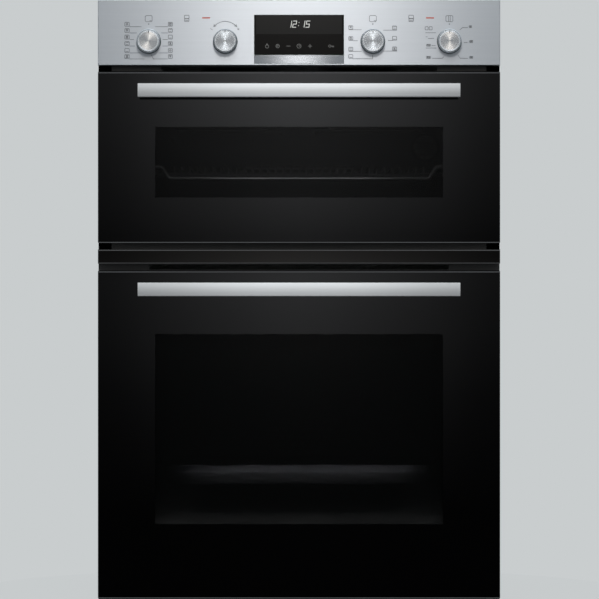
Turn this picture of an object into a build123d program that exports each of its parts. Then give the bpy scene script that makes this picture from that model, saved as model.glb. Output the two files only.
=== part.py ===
from build123d import *

import os
from dataclasses import dataclass

# A built-in double wall oven: a small oven above a large one, each behind a drop-down glass door,
# with one steel control panel across the top.
# Millimetres. +X is to the right of someone facing the oven, +Y runs back into the cabinet, +Z is up.
# The origin is the bottom centre of the oven's bounding box.

# Heights of the front, listed upwards from the surface that the oven stands on
BASE_GAP = 4.0
LOWER_DOOR_H = 485.0
LOWER_GAP = 10.0
TRIM_H = 21.0
TRIM_GAP = 9.0
UPPER_DOOR_H = 254.0
VENT_GAP = 9.0
FASCIA_H = 96.0
TOP_SETBACK = 16.0

# Widths and depths of the whole oven
BODY_W = 556.0
FRONT_OVERHANG = 19.0
BODY_D = 508.0
GLAND_REACH = 12.0
HANDLE_REACH = 44.0
DOOR_T = 26.0
SEAL_GAP = 2.5

# Sheet metal
SHEET = 1.0
FRAME_T = 1.5
CAVITY_T = 1.2
FASCIA_T = 1.2
TRIM_T = 1.5
FOLD = 15.0
FRAME_LIFT = 1.0
FRAME_LAP = 0.5

# Cavities
SIDE_ROOM = 37.0
REAR_ROOM = 98.0
CAVITY_R = 18.0
FLANGE_W = 22.0
UPPER_FLOOR_RISE = 38.0
UPPER_HEAD_DROP = 50.0
LOWER_FLOOR_RISE = 71.0
LOWER_HEAD_DROP = 57.0
SEAL_INSET = 3.0
SEAL_W = 8.0
SEAL_R = 1.5
INSULATION_SIDE = 27.0
INSULATION_END = 27.0
INSULATION_REAR = 24.0
ELEMENT_ROOM = 9.0
SOFT_GAP = 0.3

# Fits
RUN_FIT = 0.05
PANE_FIT = 0.2
PART_FIT = 0.3
SLIDE_FIT = 0.3

# Fasteners
SCREW_R = 1.75
SCREW_HEAD_R = 3.8
SCREW_HEAD_T = 2.2
SCREW_TAIL = 5.0
SCREW_FIT = 0.2
REAR_SCREW_INSET = 47.0
CABINET_HOLE_R = 2.25
CABINET_HOLE_INSET = 8.5
CABINET_HOLE_LOW = 250.0
CABINET_HOLE_PITCH = 400.0

# Vents
VENT_SLOT_H = 7.0
UPPER_VENT_INSET = 35.5
LOWER_VENT_INSET = 17.5
LOUVRE_L = 60.0
LOUVRE_H = 5.0
LOUVRE_PITCH = 14.0
LOUVRE_COUNT = 6

# Door panes, frame and handle
OUTER_GLASS_T = 4.0
INNER_GLASS_T = 4.0
MIDDLE_GLASS_T = 3.0
GLASS_R = 2.0
GLASS_CHAMFER = 0.8
COLUMN_W = 28.0
DOOR_WALL = 2.0
PANE_LIP = 1.2
PANE_GRIP = 4.0
TOP_RAIL_DROP = 13.0
TOP_RAIL_H = 24.0
BOTTOM_RAIL_H = 16.0
RAIL_SLOT_L = 24.0
RAIL_SLOT_PITCH = 36.0
RAIL_SLOT_W = 5.0
HANDLE_INSET = 60.5
HANDLE_H = 20.0
HANDLE_T = 12.0
HANDLE_R = 1.2
HANDLE_CROWN = 1.4
UPPER_HANDLE_DROP = 29.9
LOWER_HANDLE_DROP = 28.2
POST_R = 8.0
POST_INSET = 30.0
BOLT_R = 2.5
BOLT_GRIP = 14.0
BOLT_HEAD_R = 5.0
BOLT_HEAD_T = 3.0
BOLT_FIT = 0.5
BOLT_RISE = 4.2

# Door hinges
PIVOT_RISE = 12.0
COLUMN_BELOW_PIVOT = 4.0
CLAW_T = 4.0
CLAW_SIDE_GAP = 3.0
CLAW_H = 12.0
CLAW_TAIL = 28.0
CLAW_BITE = 4.0
CLAW_SLOT_GAP = 1.0
HUB_R = 6.5
PIN_R = 3.0
CHANNEL_W = 17.0
CHANNEL_WALL = 1.5
CHANNEL_D = 16.0
CHANNEL_BELOW_PIVOT = 7.0
CHANNEL_WEB_RISE = 9.0
CHANNEL_TOP_ROOM = 14.0
LINK_EAR_RISE = 12.0
LINK_EAR_R = 3.5
LINK_HOLE_R = 1.6
LINK_RISE = 21.0
LINK_END_R = 4.0
LINK_END_W = 7.0
ROD_R = 2.5
ROD_FIT = 0.4
SPRING_SEAT_RISE = 42.0
SPRING_SEAT_T = 2.0
SPRING_WIRE_W = 2.4
SPRING_WIRE_H = 2.0
SPRING_R = 4.6
SPRING_PITCH = 6.3
SPRING_TURNS = 10
WASHER_R = 6.0
WASHER_T = 2.0

# Control panel
FASCIA_BEND = 0.8
KNOB_SIDE_INSET = 75.0
KNOB_DISPLAY_GAP = 42.6
KNOB_RISE = 35.2
KNOB_R = 17.5
KNOB_PROUD = 16.0
KNOB_SKIRT = 8.0
KNOB_WALL = 2.5
KNOB_FACE_T = 3.0
KNOB_HUB_R = 6.0
KNOB_CHAMFER = 1.6
KNOB_DISH_R = 14.9
KNOB_DISH = 0.4
KNOB_MARK_W = 1.3
KNOB_MARK_L = 5.0
KNOB_GAP = 0.8
KNOB_TRAVEL = 13.0
SHAFT_R = 3.0
SHAFT_FLAT = 1.0
SHAFT_END_GAP = 0.5
DISPLAY_W = 132.8
DISPLAY_H = 58.8
DISPLAY_DROP = 21.5
DISPLAY_GLASS_T = 3.0
DISPLAY_PROUD = 0.4
BADGE_H = 13.7
BADGE_BOW = 1.8
BADGE_BEVEL = 1.4
BADGE_BACKSET = 0.9
BOARD_BACK = 40.0
BOARD_T = 1.6
BOARD_INSET = 47.0
BOARD_H = 44.0
DISPLAY_BLOCK_D = 12.0
DISPLAY_BLOCK_RIM = 8.0
DISPLAY_NECK_W = 80.0
DISPLAY_NECK_H = 32.0
SWITCH_W = 30.0
SWITCH_D = 14.0
FRAME_WINDOW_INSET = 37.0
FRAME_WINDOW_H = 48.0

# Shelves and their supports
WIRE_R = 2.5
SUPPORT_WALL_GAP = 5.5
RUNNER_OFFSET = 4.0
SUPPORT_FRONT = 38.0
SUPPORT_REAR = 50.0
SUPPORT_FOOT = 22.0
RUNNER_OVERHANG = 16.0
POST_GAP = 0.8
UPPER_LEVEL_RISE = 30.0
UPPER_LEVEL_PITCH = 41.0
UPPER_LEVEL_COUNT = 3
LOWER_LEVEL_RISE = 50.0
LOWER_LEVEL_PITCH = 71.0
LOWER_LEVEL_COUNT = 4
RACK_LEVEL = 1
PAN_LEVEL = 1
SHELF_FRONT = 20.0
RACK_REAR_GAP = 22.0
RACK_BAR_R = 3.0
RACK_SIDE_IN = 2.0
RACK_DROP = 17.0
RACK_KNEE = 24.0
RACK_SLOPE = 11.0
RACK_ROD_R = 1.5
RACK_RODS = 33
RACK_ROD_RUN = 8.0
RACK_ROD_BEND = 5.0
RACK_GRID_MARGIN = 8.0
RACK_WELD = 0.4
RACK_BRACE = 100.0
RACK_STOP_R = 2.5
RACK_STOP_W = 190.0
RACK_STOP_SLOPE = 14.0
RACK_STOP_RISE = 10.5
PAN_REAR_GAP = 8.0
PAN_DEPTH = 30.0
PAN_T = 1.2
PAN_R = 30.0
PAN_FLANGE = 23.0
PAN_TAPER = 10.0
PAN_LIP_H = 11.0
PAN_LIP_INSET = 36.0

# Heating elements
ELEMENT_R = 3.25
ELEMENT_FIT = 0.3
ELEMENT_BEND = 16.0
GRILL_DROP = 22.0
GRILL_ROWS = 4
GRILL_SIDE_GAP = 50.0
GRILL_FRONT = 50.0
GRILL_REAR = 60.0
GRILL_INNER_X = 48.0
TERMINAL_X = 28.0
TERMINAL_TAIL = 14.0
RING_R = 92.0
RING_GAP_X = 14.0
RING_WALL_GAP = 14.0

# Circulation fan of the lower oven
FAN_R = 72.0
FAN_HUB_R = 12.0
FAN_BLADE_ROOT = 26.0
FAN_BLADE_W = 22.0
FAN_BLADE_T = 1.5
FAN_BLADES = 14
FAN_WALL_GAP = 7.0
FAN_SHAFT_R = 4.0
FAN_SHAFT_FRONT = 5.0
FAN_SHAFT_GAP = 1.0
FAN_MOTOR_W = 70.0
FAN_MOTOR_D = 44.0
FAN_MOTOR_STANDOFF = 28.0
FAN_LEG_R = 4.0
FAN_LEG_INSET = 8.0
BAFFLE_SIDE_GAP = 75.0
BAFFLE_H = 288.0
BAFFLE_D = 38.0
BAFFLE_R = 14.0
BAFFLE_HOLE_R = 4.5
BAFFLE_HOLE_PITCH = 14.0
BAFFLE_GRILLE_R = 62.0
BAFFLE_SLOT_H = 24.0
BAFFLE_SLOT_W = 14.0
BAFFLE_SLOT_PITCH = 40.0
BAFFLE_SLOTS = 6

# Lamp and temperature probe on each rear wall
LAMP_SIDE_GAP = 40.0
LAMP_DROP = 46.0
LAMP_LENS_R = 24.0
LAMP_LENS_H = 9.0
LAMP_LENS_BEVEL = 5.4
LAMP_NECK_R = 19.0
LAMP_SOCKET_D = 40.0
PROBE_SIDE_GAP = 40.0
PROBE_DROP = 34.0
PROBE_R = 2.5
PROBE_L = 60.0
PROBE_HEX_R = 7.0
PROBE_HEX_T = 8.0

# Cooling blower above the upper oven
DUCT_H = 16.0
DUCT_L = 196.0
DUCT_SIDE = 4.0
DUCT_WALL = 1.2
SCROLL_R = 40.0
SCROLL_INSET = 54.5
SCROLL_Y = 284.0
SCROLL_RISE = 45.0
THROAT_H = 34.0
BLOWER_R = 32.0
BLOWER_END_GAP = 8.0
BLOWER_BLADES = 24
BLOWER_BLADE_W = 9.0
BLOWER_BLADE_T = 1.2
BLOWER_DISC_T = 2.0
BLOWER_AXLE_R = 4.0
BLOWER_MOTOR_R = 27.0
BLOWER_MOTOR_L = 40.0
HANGER_T = 2.0
HANGER_D = 40.0

# Mains connection and power board
GLAND_INSET = 97.0
GLAND_DROP = 86.0
GLAND_BORE_R = 5.5
GLAND_BODY_R = 10.0
GLAND_FLANGE_R = 17.0
GLAND_FLANGE_T = 4.0
GLAND_INSIDE = 12.0
TERMINAL_W = 64.0
TERMINAL_D = 26.0
TERMINAL_H = 34.0
TERMINAL_RISE = 34.0
TERMINAL_WELLS = 5
POWER_BOARD_Y = 230.0
POWER_BOARD_L = 200.0
POWER_BOARD_H = 70.0
POWER_BOARD_DROP = 12.0
POWER_STANDOFF = 8.0
POWER_STANDOFF_R = 3.0
RELAY_W = 18.0
RELAY_H = 22.0
RELAY_PITCH = 32.0
RELAY_COUNT = 5

# Places worked out from the sizes above
FRONT_W = BODY_W + 2 * FRONT_OVERHANG
FRONT_T = DOOR_T + SEAL_GAP + FRAME_T
TOTAL_D = HANDLE_REACH + FRONT_T + BODY_D + GLAND_REACH
Y_FACE = HANDLE_REACH - TOTAL_D / 2
Y_GLASS_BACK = Y_FACE + OUTER_GLASS_T
Y_DOOR_BACK = Y_FACE + DOOR_T
Y_FRAME = Y_DOOR_BACK + SEAL_GAP
Y_BODY = Y_FACE + FRONT_T
Y_BACK = Y_BODY + BODY_D
Y_IN_BACK = Y_BACK - SHEET
Z_TRIM = BASE_GAP + LOWER_DOOR_H + LOWER_GAP
Z_UPPER_DOOR = Z_TRIM + TRIM_H + TRIM_GAP
Z_FASCIA = Z_UPPER_DOOR + UPPER_DOOR_H + VENT_GAP
Z_TOP = Z_FASCIA + FASCIA_H
Z_BODY_TOP = Z_TOP - TOP_SETBACK
IN_X = BODY_W / 2 - SHEET
CAVITY_W = 2 * (IN_X - SIDE_ROOM)
CAVITY_D = BODY_D - REAR_ROOM
UPPER_VENT_W = CAVITY_W - 2 * UPPER_VENT_INSET
LOWER_VENT_W = CAVITY_W - 2 * LOWER_VENT_INSET
SCROLL_L = UPPER_VENT_W - 2 * SCROLL_INSET
BAFFLE_W = CAVITY_W - 2 * BAFFLE_SIDE_GAP
LAMP_X = CAVITY_W / 2 - LAMP_SIDE_GAP
PROBE_X = PROBE_SIDE_GAP - CAVITY_W / 2
RACK_D = CAVITY_D - SHELF_FRONT - RACK_REAR_GAP
PAN_D = CAVITY_D - SHELF_FRONT - BAFFLE_D - PAN_REAR_GAP
HANDLE_L = FRONT_W - 2 * HANDLE_INSET
BOARD_W = FRONT_W - 2 * BOARD_INSET
FRAME_WINDOW_W = FRONT_W - 2 * FRAME_WINDOW_INSET
GLAND_X = IN_X - GLAND_INSET
REAR_SCREW_X = IN_X - REAR_SCREW_INSET
KNOB_OUTER_X = FRONT_W / 2 - KNOB_SIDE_INSET
KNOB_INNER_X = DISPLAY_W / 2 + KNOB_DISPLAY_GAP
UPPER_LEVELS = [UPPER_LEVEL_RISE + i * UPPER_LEVEL_PITCH for i in range(UPPER_LEVEL_COUNT)]
LOWER_LEVELS = [LOWER_LEVEL_RISE + i * LOWER_LEVEL_PITCH for i in range(LOWER_LEVEL_COUNT)]
Y_WALL = Y_BODY + CAVITY_D
Y_WALL_BACK = Y_WALL + CAVITY_T
HINGE_X = IN_X - CLAW_SIDE_GAP - CLAW_T / 2
COLUMN_IN = HINGE_X - COLUMN_W / 2
PIVOT_Y = Y_FACE + DOOR_T / 2
KNOB_Z = Z_FASCIA + KNOB_RISE
KNOB_XS = (-KNOB_OUTER_X, -KNOB_INNER_X, KNOB_INNER_X, KNOB_OUTER_X)
Y_BOARD = Y_FACE + BOARD_BACK
Z_DISPLAY = Z_TOP - DISPLAY_DROP - DISPLAY_H
Z_BADGE = Z_DISPLAY - BADGE_H
Y_INLAY = Y_FACE + DISPLAY_GLASS_T - DISPLAY_PROUD
SUPPORT_X = CAVITY_W / 2 - SUPPORT_WALL_GAP
RUNNER_X = SUPPORT_X - RUNNER_OFFSET
SCROLL_Z = Z_FASCIA - VENT_GAP + SCROLL_RISE
Z_DUCT = Z_FASCIA - VENT_GAP / 2 - DUCT_H / 2
SCREW_ZS = (FOLD / 2, Z_BODY_TOP - FOLD / 2)
REAR_SCREW_XS = (-REAR_SCREW_X, -REAR_SCREW_X / 3, REAR_SCREW_X / 3, REAR_SCREW_X)
SIDE_SCREW_YS = (Y_BODY + BODY_D / 4, Y_BODY + 3 * BODY_D / 4)
CABINET_HOLE_X = BODY_W / 2 + CABINET_HOLE_INSET
CABINET_HOLE_ZS = (CABINET_HOLE_LOW, CABINET_HOLE_LOW + CABINET_HOLE_PITCH)
POST_X = HANDLE_L / 2 - POST_INSET
GLAND_Z = Z_BODY_TOP - GLAND_DROP
Y_PANE_BACK = Y_DOOR_BACK - PANE_LIP
CUT = 5.0  # how far a cutting tool stands past the face that it enters


@dataclass
class Oven:
    """One of the two ovens: its door's place and height, its cavity and its shelf levels."""

    name: str
    door_z: float
    door_h: float
    floor_rise: float
    head_drop: float
    handle_drop: float
    levels: list

    @property
    def door_top(self):
        return self.door_z + self.door_h

    @property
    def door_middle(self):
        return self.door_z + self.door_h / 2

    @property
    def floor(self):
        return self.door_z + self.floor_rise

    @property
    def ceiling(self):
        return self.door_top - self.head_drop

    @property
    def middle(self):
        return (self.floor + self.ceiling) / 2

    @property
    def height(self):
        return self.ceiling - self.floor

    @property
    def pivot_z(self):
        return self.door_z + PIVOT_RISE

    @property
    def handle_z(self):
        return self.door_top - self.handle_drop

    @property
    def bolt_z(self):
        return self.handle_z + BOLT_RISE

    @property
    def top_rail(self):
        """Lowest and highest place of the door's top rail."""
        return self.door_top - TOP_RAIL_DROP - TOP_RAIL_H, self.door_top - TOP_RAIL_DROP

    @property
    def bottom_rail(self):
        """Lowest and highest place of the door's bottom rail."""
        low = self.pivot_z - COLUMN_BELOW_PIVOT
        return low, low + BOTTOM_RAIL_H

    @property
    def lamp_z(self):
        return self.ceiling - LAMP_DROP

    @property
    def probe_z(self):
        return self.ceiling - PROBE_DROP

    @property
    def grill_z(self):
        return self.ceiling - GRILL_DROP

    @property
    def spring_top(self):
        """Where the hinge spring's upper end bears on the rod's washer."""
        seat = self.pivot_z + SPRING_SEAT_RISE + SPRING_SEAT_T
        return seat + SPRING_TURNS * SPRING_PITCH + SPRING_WIRE_H + 2 * SOFT_GAP


UPPER = Oven(
    "upper",
    Z_UPPER_DOOR,
    UPPER_DOOR_H,
    UPPER_FLOOR_RISE,
    UPPER_HEAD_DROP,
    UPPER_HANDLE_DROP,
    UPPER_LEVELS,
)
LOWER = Oven(
    "lower",
    BASE_GAP,
    LOWER_DOOR_H,
    LOWER_FLOOR_RISE,
    LOWER_HEAD_DROP,
    LOWER_HANDLE_DROP,
    LOWER_LEVELS,
)
OVENS = (UPPER, LOWER)
FAN_Z = LOWER.middle
RACK_LIFT = ((WIRE_R + RACK_BAR_R + SLIDE_FIT) ** 2 - RACK_SIDE_IN**2) ** 0.5
RACK_Z = UPPER.floor + UPPER.levels[RACK_LEVEL] + RACK_LIFT
PAN_Z = LOWER.floor + LOWER.levels[PAN_LEVEL] + WIRE_R + SLIDE_FIT


# Shared shapes


def block(x0, x1, y0, y1, z0, z1):
    """A box between two corners."""
    return Pos((x0 + x1) / 2, (y0 + y1) / 2, (z0 + z1) / 2) * Box(x1 - x0, y1 - y0, z1 - z0)


def slab(width, height, radius, z, y0, y1):
    """A rounded rectangle that faces the viewer, centred on the middle plane, from depth y0 to y1."""
    plane = Plane(origin=(0, y0, z), x_dir=(1, 0, 0), z_dir=(0, -1, 0))
    return extrude(plane * RectangleRounded(width, height, radius), amount=y0 - y1)


def rod_x(x0, x1, y, z, radius):
    return Pos((x0 + x1) / 2, y, z) * Rot(0, 90, 0) * Cylinder(radius, x1 - x0)


def rod_y(x, y0, y1, z, radius):
    return Pos(x, (y0 + y1) / 2, z) * Rot(90, 0, 0) * Cylinder(radius, y1 - y0)


def rod_z(x, y, z0, z1, radius):
    return Pos(x, y, (z0 + z1) / 2) * Cylinder(radius, z1 - z0)


def tube(points, radius, bend):
    """A round bar along straight runs that are joined by bends of one radius."""
    path = FilletPolyline(*points, radius=bend)
    section = Plane(origin=path @ 0, z_dir=path % 0) * Circle(radius)
    return sweep(section, path=path)


def both_sides(shape):
    """A shape and its mirror image across the middle plane."""
    return [shape, mirror(shape, about=Plane.YZ)]


def group(shapes):
    """Separate solids that share one node."""
    return Compound([solid for shape in shapes for solid in shape.solids()])


def fuse(shapes):
    """One solid from shapes that run into each other."""
    first, *rest = shapes
    return first.fuse(*rest) if rest else first


# Casing


def screw(along, x, y, z):
    """A casing screw whose head bears on a panel and whose shank runs inwards, along "x" or "y"."""
    length = 2 * SHEET + SCREW_TAIL
    head = Cylinder(SCREW_HEAD_R, SCREW_HEAD_T, align=(Align.CENTER, Align.CENTER, Align.MIN))
    shank = Cylinder(SCREW_R, length, align=(Align.CENTER, Align.CENTER, Align.MAX))
    turn = Rot(-90, 0, 0) if along == "y" else Rot(0, 90 if x > 0 else -90, 0)
    return Pos(x, y, z) * turn * fuse([head, shank])


def casing_screws():
    rear = [screw("y", x, Y_BACK, z) for x in REAR_SCREW_XS for z in SCREW_ZS]
    half = BODY_W / 2
    side = [screw("x", s * half, y, z) for s in (-1, 1) for y in SIDE_SCREW_YS for z in SCREW_ZS]
    return group(rear + side)


def screw_holes():
    """Cutting tools for every casing screw's shank."""
    radius = SCREW_R + SCREW_FIT
    reach = 2 * SHEET + SCREW_TAIL
    rear = [rod_y(x, Y_BACK - reach, Y_BACK + CUT, z, radius) for x in REAR_SCREW_XS for z in SCREW_ZS]
    side = [
        rod_x(BODY_W / 2 - reach, BODY_W / 2 + CUT, y, z, radius)
        for y in SIDE_SCREW_YS
        for z in SCREW_ZS
    ]
    return rear + [hole for tool in side for hole in both_sides(tool)]


def tray(z_plate, z_rim):
    """A sheet with a fold along each edge, which fits inside the side panels and the rear panel."""
    low, high = min(z_plate, z_rim), max(z_plate, z_rim)
    outer = block(-IN_X, IN_X, Y_BODY, Y_IN_BACK, low, high)
    hollow_low = low + SHEET if z_plate == low else low - CUT
    hollow_high = high - SHEET if z_plate == high else high + CUT
    hollow = block(
        SHEET - IN_X, IN_X - SHEET, Y_BODY + SHEET, Y_IN_BACK - SHEET, hollow_low, hollow_high
    )
    return outer - hollow - screw_holes()


def louvres(place, along, across):
    """Cutting tools for a row of slots in one sheet; along and across are axis numbers."""
    tools = []
    for i in range(LOUVRE_COUNT):
        size = [CUT, CUT, CUT]
        size[along] = LOUVRE_L
        size[across] = LOUVRE_H
        middle = list(place)
        middle[across] += (i - (LOUVRE_COUNT - 1) / 2) * LOUVRE_PITCH
        tools.append(Pos(*middle) * Box(*size))
    return tools


def base_pan():
    """The floor of the casing, with its front fold cut away round the lower door's hinge claws."""
    half = CLAW_T / 2 + CLAW_SLOT_GAP
    low = LOWER.pivot_z - CLAW_H / 2 - CLAW_SLOT_GAP
    room = block(HINGE_X - half, HINGE_X + half, Y_BODY - CUT, Y_BODY + CLAW_TAIL, low, low + 2 * CLAW_H)
    return tray(0, FOLD) - both_sides(room)


def top_cover():
    slots = louvres((0, Y_BODY + SCROLL_Y + SCROLL_R, Z_BODY_TOP), 0, 1)
    return tray(Z_BODY_TOP, Z_BODY_TOP - FOLD) - slots


def side_panel(side):
    inner, outer = sorted((side * IN_X, side * BODY_W / 2))
    plate = block(inner, outer, Y_BODY, Y_BACK, 0, Z_BODY_TOP)
    slots = louvres((side * BODY_W / 2, Y_BACK - LOUVRE_L, SCROLL_Z), 1, 2)
    return plate - slots - screw_holes()


def rear_panel():
    plate = block(-IN_X, IN_X, Y_IN_BACK, Y_BACK, 0, Z_BODY_TOP)
    top_slots = louvres((0, Y_BACK, SCROLL_Z), 0, 2)
    motor_slots = louvres((0, Y_BACK, FAN_Z), 0, 2)
    gland_hole = rod_y(GLAND_X, Y_IN_BACK - CUT, Y_BACK + CUT, GLAND_Z, GLAND_BODY_R)
    return plate - top_slots - motor_slots - gland_hole - screw_holes()


def seal_outline(oven, grow):
    """Width, height and corner radius of the seal's outer edge, grown by a margin."""
    margin = 2 * (SEAL_INSET + SEAL_W + grow)
    return CAVITY_W + margin, oven.height + margin, CAVITY_R + margin / 2


def claw_slot(oven):
    """The two openings in the front frame that the upper door's or lower door's hinge claws hook into."""
    half = CLAW_T / 2 + CLAW_SLOT_GAP
    low = oven.pivot_z - CLAW_H / 2 + CLAW_BITE
    high = oven.pivot_z + CLAW_H / 2 + CLAW_SLOT_GAP
    return both_sides(block(HINGE_X - half, HINGE_X + half, Y_FRAME - CUT, Y_BODY + CUT, low, high))


def front_frame():
    """The face plate that carries both cavities, the seals, the hinges and the control panel."""
    half = FRONT_W / 2 + FRAME_LAP
    plate = block(-half, half, Y_FRAME, Y_BODY, FRAME_LIFT, Z_BODY_TOP)
    cuts = []
    for oven in OVENS:
        width, height, radius = seal_outline(oven, SOFT_GAP)
        cuts.append(slab(width, height, radius, oven.middle, Y_FRAME - CUT, Y_BODY + CUT))
        cuts += claw_slot(oven)
    upper_vent_z = Z_FASCIA - VENT_GAP / 2
    lower_vent_z = Z_TRIM - LOWER_GAP / 2
    for width, z in ((UPPER_VENT_W, upper_vent_z), (LOWER_VENT_W, lower_vent_z)):
        cuts.append(slab(width, VENT_SLOT_H, VENT_SLOT_H / 3, z, Y_FRAME - CUT, Y_BODY + CUT))
    cuts.append(slab(FRAME_WINDOW_W, FRAME_WINDOW_H, CAVITY_R, KNOB_Z, Y_FRAME - CUT, Y_BODY + CUT))
    for x in (-CABINET_HOLE_X, CABINET_HOLE_X):
        for z in CABINET_HOLE_ZS:
            cuts.append(rod_y(x, Y_FRAME - CUT, Y_BODY + CUT, z, CABINET_HOLE_R))
    return plate - cuts


def mid_trim():
    """The fixed black strip between the doors, a channel that stands on the front frame."""
    half = FRONT_W / 2
    top = Z_TRIM + TRIM_H
    outer = block(-half, half, Y_FACE, Y_FRAME, Z_TRIM, top)
    front = outer.faces().sort_by(Axis.Y)[0]
    outer = chamfer(front.edges(), GLASS_CHAMFER)
    hollow = block(
        TRIM_T - half, half - TRIM_T, Y_FACE + OUTER_GLASS_T, Y_FRAME + CUT, Z_TRIM + TRIM_T, top - TRIM_T
    )
    return outer - hollow


# Cavities, seals and insulation


def terminal_holes(oven, radius, y0, y1):
    """Where the grill element's two ends pass through the rear wall."""
    return both_sides(rod_y(TERMINAL_X, y0, y1, oven.grill_z, radius))


def ring_ends(radius, y0, y1):
    """Where the ring element's two ends pass through the lower oven's rear wall."""
    return both_sides(rod_y(RING_GAP_X, y0, y1, ring_end_z(), radius))


def ring_end_z():
    return FAN_Z + (RING_R**2 - RING_GAP_X**2) ** 0.5


def wall_holes(oven):
    """Cutting tools for what passes through a cavity's rear wall."""
    y0, y1 = Y_WALL - CUT, Y_WALL_BACK + CUT
    tools = terminal_holes(oven, ELEMENT_R + ELEMENT_FIT, y0, y1)
    tools.append(rod_y(LAMP_X, y0, y1, oven.lamp_z, LAMP_NECK_R))
    tools.append(rod_y(PROBE_X, y0, y1, oven.probe_z, PROBE_R))
    if oven is LOWER:
        tools += ring_ends(ELEMENT_R + ELEMENT_FIT, y0, y1)
        tools.append(rod_y(0, y0, y1, FAN_Z, FAN_SHAFT_R + FAN_SHAFT_GAP))
    return tools


def cavity(oven):
    """An enamelled liner, open at the front, with a flange that seats on the back of the front frame."""
    width, height = CAVITY_W, oven.height
    wall, rim = 2 * CAVITY_T, 2 * FLANGE_W
    shell = slab(width + wall, height + wall, CAVITY_R + CAVITY_T, oven.middle, Y_BODY, Y_WALL_BACK)
    flange = slab(
        width + rim, height + rim, CAVITY_R + FLANGE_W, oven.middle, Y_BODY, Y_BODY + CAVITY_T
    )
    hollow = slab(width, height, CAVITY_R, oven.middle, Y_BODY - CUT, Y_WALL)
    return fuse([shell, flange]) - hollow - wall_holes(oven)


def insulation(oven):
    """A mineral wool wrap round a cavity, with room for the base element and the parts behind the wall."""
    half = CAVITY_W / 2 + CAVITY_T
    y0, y1 = Y_BODY + CAVITY_T + SOFT_GAP, Y_WALL_BACK + SOFT_GAP
    low, high = oven.floor - CAVITY_T, oven.ceiling + CAVITY_T
    outer = block(
        -half - INSULATION_SIDE,
        half + INSULATION_SIDE,
        y0,
        y1 + INSULATION_REAR,
        low - INSULATION_END - ELEMENT_ROOM,
        high + INSULATION_END,
    )
    room = block(
        -half - SOFT_GAP,
        half + SOFT_GAP,
        y0 - CUT,
        y1,
        low - ELEMENT_ROOM,
        high + SOFT_GAP,
    )
    rear0, rear1 = y1 - CUT, y1 + INSULATION_REAR + CUT
    holes = terminal_holes(oven, 2 * ELEMENT_R, rear0, rear1)
    holes.append(rod_y(LAMP_X, rear0, rear1, oven.lamp_z, LAMP_LENS_R))
    holes.append(rod_y(PROBE_X, rear0, rear1, oven.probe_z, PROBE_HEX_R + SOFT_GAP))
    if oven is LOWER:
        holes += ring_ends(2 * ELEMENT_R, rear0, rear1)
        holes.append(rod_y(0, rear0, rear1, FAN_Z, FAN_MOTOR_W / 2 * 2**0.5))
    return outer - room - holes


def door_seal(oven):
    """A soft loop that sits on the cavity's flange and meets the door's inner glass."""
    width, height, radius = seal_outline(oven, 0)
    front = Y_PANE_BACK + SOFT_GAP
    outer = slab(width, height, radius, oven.middle, front, Y_BODY)
    band = 2 * SEAL_W
    inner = slab(width - band, height - band, radius - SEAL_W, oven.middle, front - CUT, Y_BODY + CUT)
    loop = outer - inner
    face = loop.faces().sort_by(Axis.Y)[0]
    return fillet(face.edges(), SEAL_R)


# Control panel


def panel_opening():
    """Cutting tool for the display and the strip under it."""
    half = DISPLAY_W / 2
    return block(-half, half, Y_FACE - CUT, Y_FACE + FASCIA_T + CUT, Z_BADGE, Z_DISPLAY + DISPLAY_H)


def control_panel():
    """A brushed steel tray, folded back on all four sides to meet the front frame."""
    half = FRONT_W / 2
    outer = block(-half, half, Y_FACE, Y_FRAME, Z_FASCIA, Z_TOP)
    front = outer.faces().sort_by(Axis.Y)[0]
    outer = fillet(front.edges(), FASCIA_BEND)
    hollow = block(
        FASCIA_T - half,
        half - FASCIA_T,
        Y_FACE + FASCIA_T,
        Y_FRAME + CUT,
        Z_FASCIA + FASCIA_T,
        Z_TOP - FASCIA_T,
    )
    knob_holes = [
        rod_y(x, Y_FACE - CUT, Y_FACE + FASCIA_T + CUT, KNOB_Z, KNOB_R + KNOB_GAP) for x in KNOB_XS
    ]
    return outer - hollow - panel_opening() - knob_holes


def display_glass():
    half = DISPLAY_W / 2 - PART_FIT
    pane = block(
        -half,
        half,
        Y_FACE - DISPLAY_PROUD,
        Y_INLAY,
        Z_DISPLAY + PART_FIT,
        Z_DISPLAY + DISPLAY_H - PART_FIT,
    )
    front = pane.faces().sort_by(Axis.Y)[0]
    return chamfer(front.edges(), PART_FIT)


def badge_strip():
    """The bare metal strip under the display, bowed forwards a little, with a bevel along its top."""
    half = DISPLAY_W / 2 - PART_FIT
    ends = Y_FACE + BADGE_BACKSET
    outline = Polyline((half, ends), (half, Y_INLAY), (-half, Y_INLAY), (-half, ends))
    bow = ThreePointArc((-half, ends), (0, ends - BADGE_BOW), (half, ends))
    face = make_face(outline + bow)
    strip = extrude(face, amount=BADGE_H - 2 * PART_FIT)
    brow = strip.edges().filter_by(GeomType.CIRCLE).sort_by(Axis.Z)[-1]
    return Pos(0, 0, Z_BADGE + PART_FIT) * chamfer(brow, BADGE_BEVEL)


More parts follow.
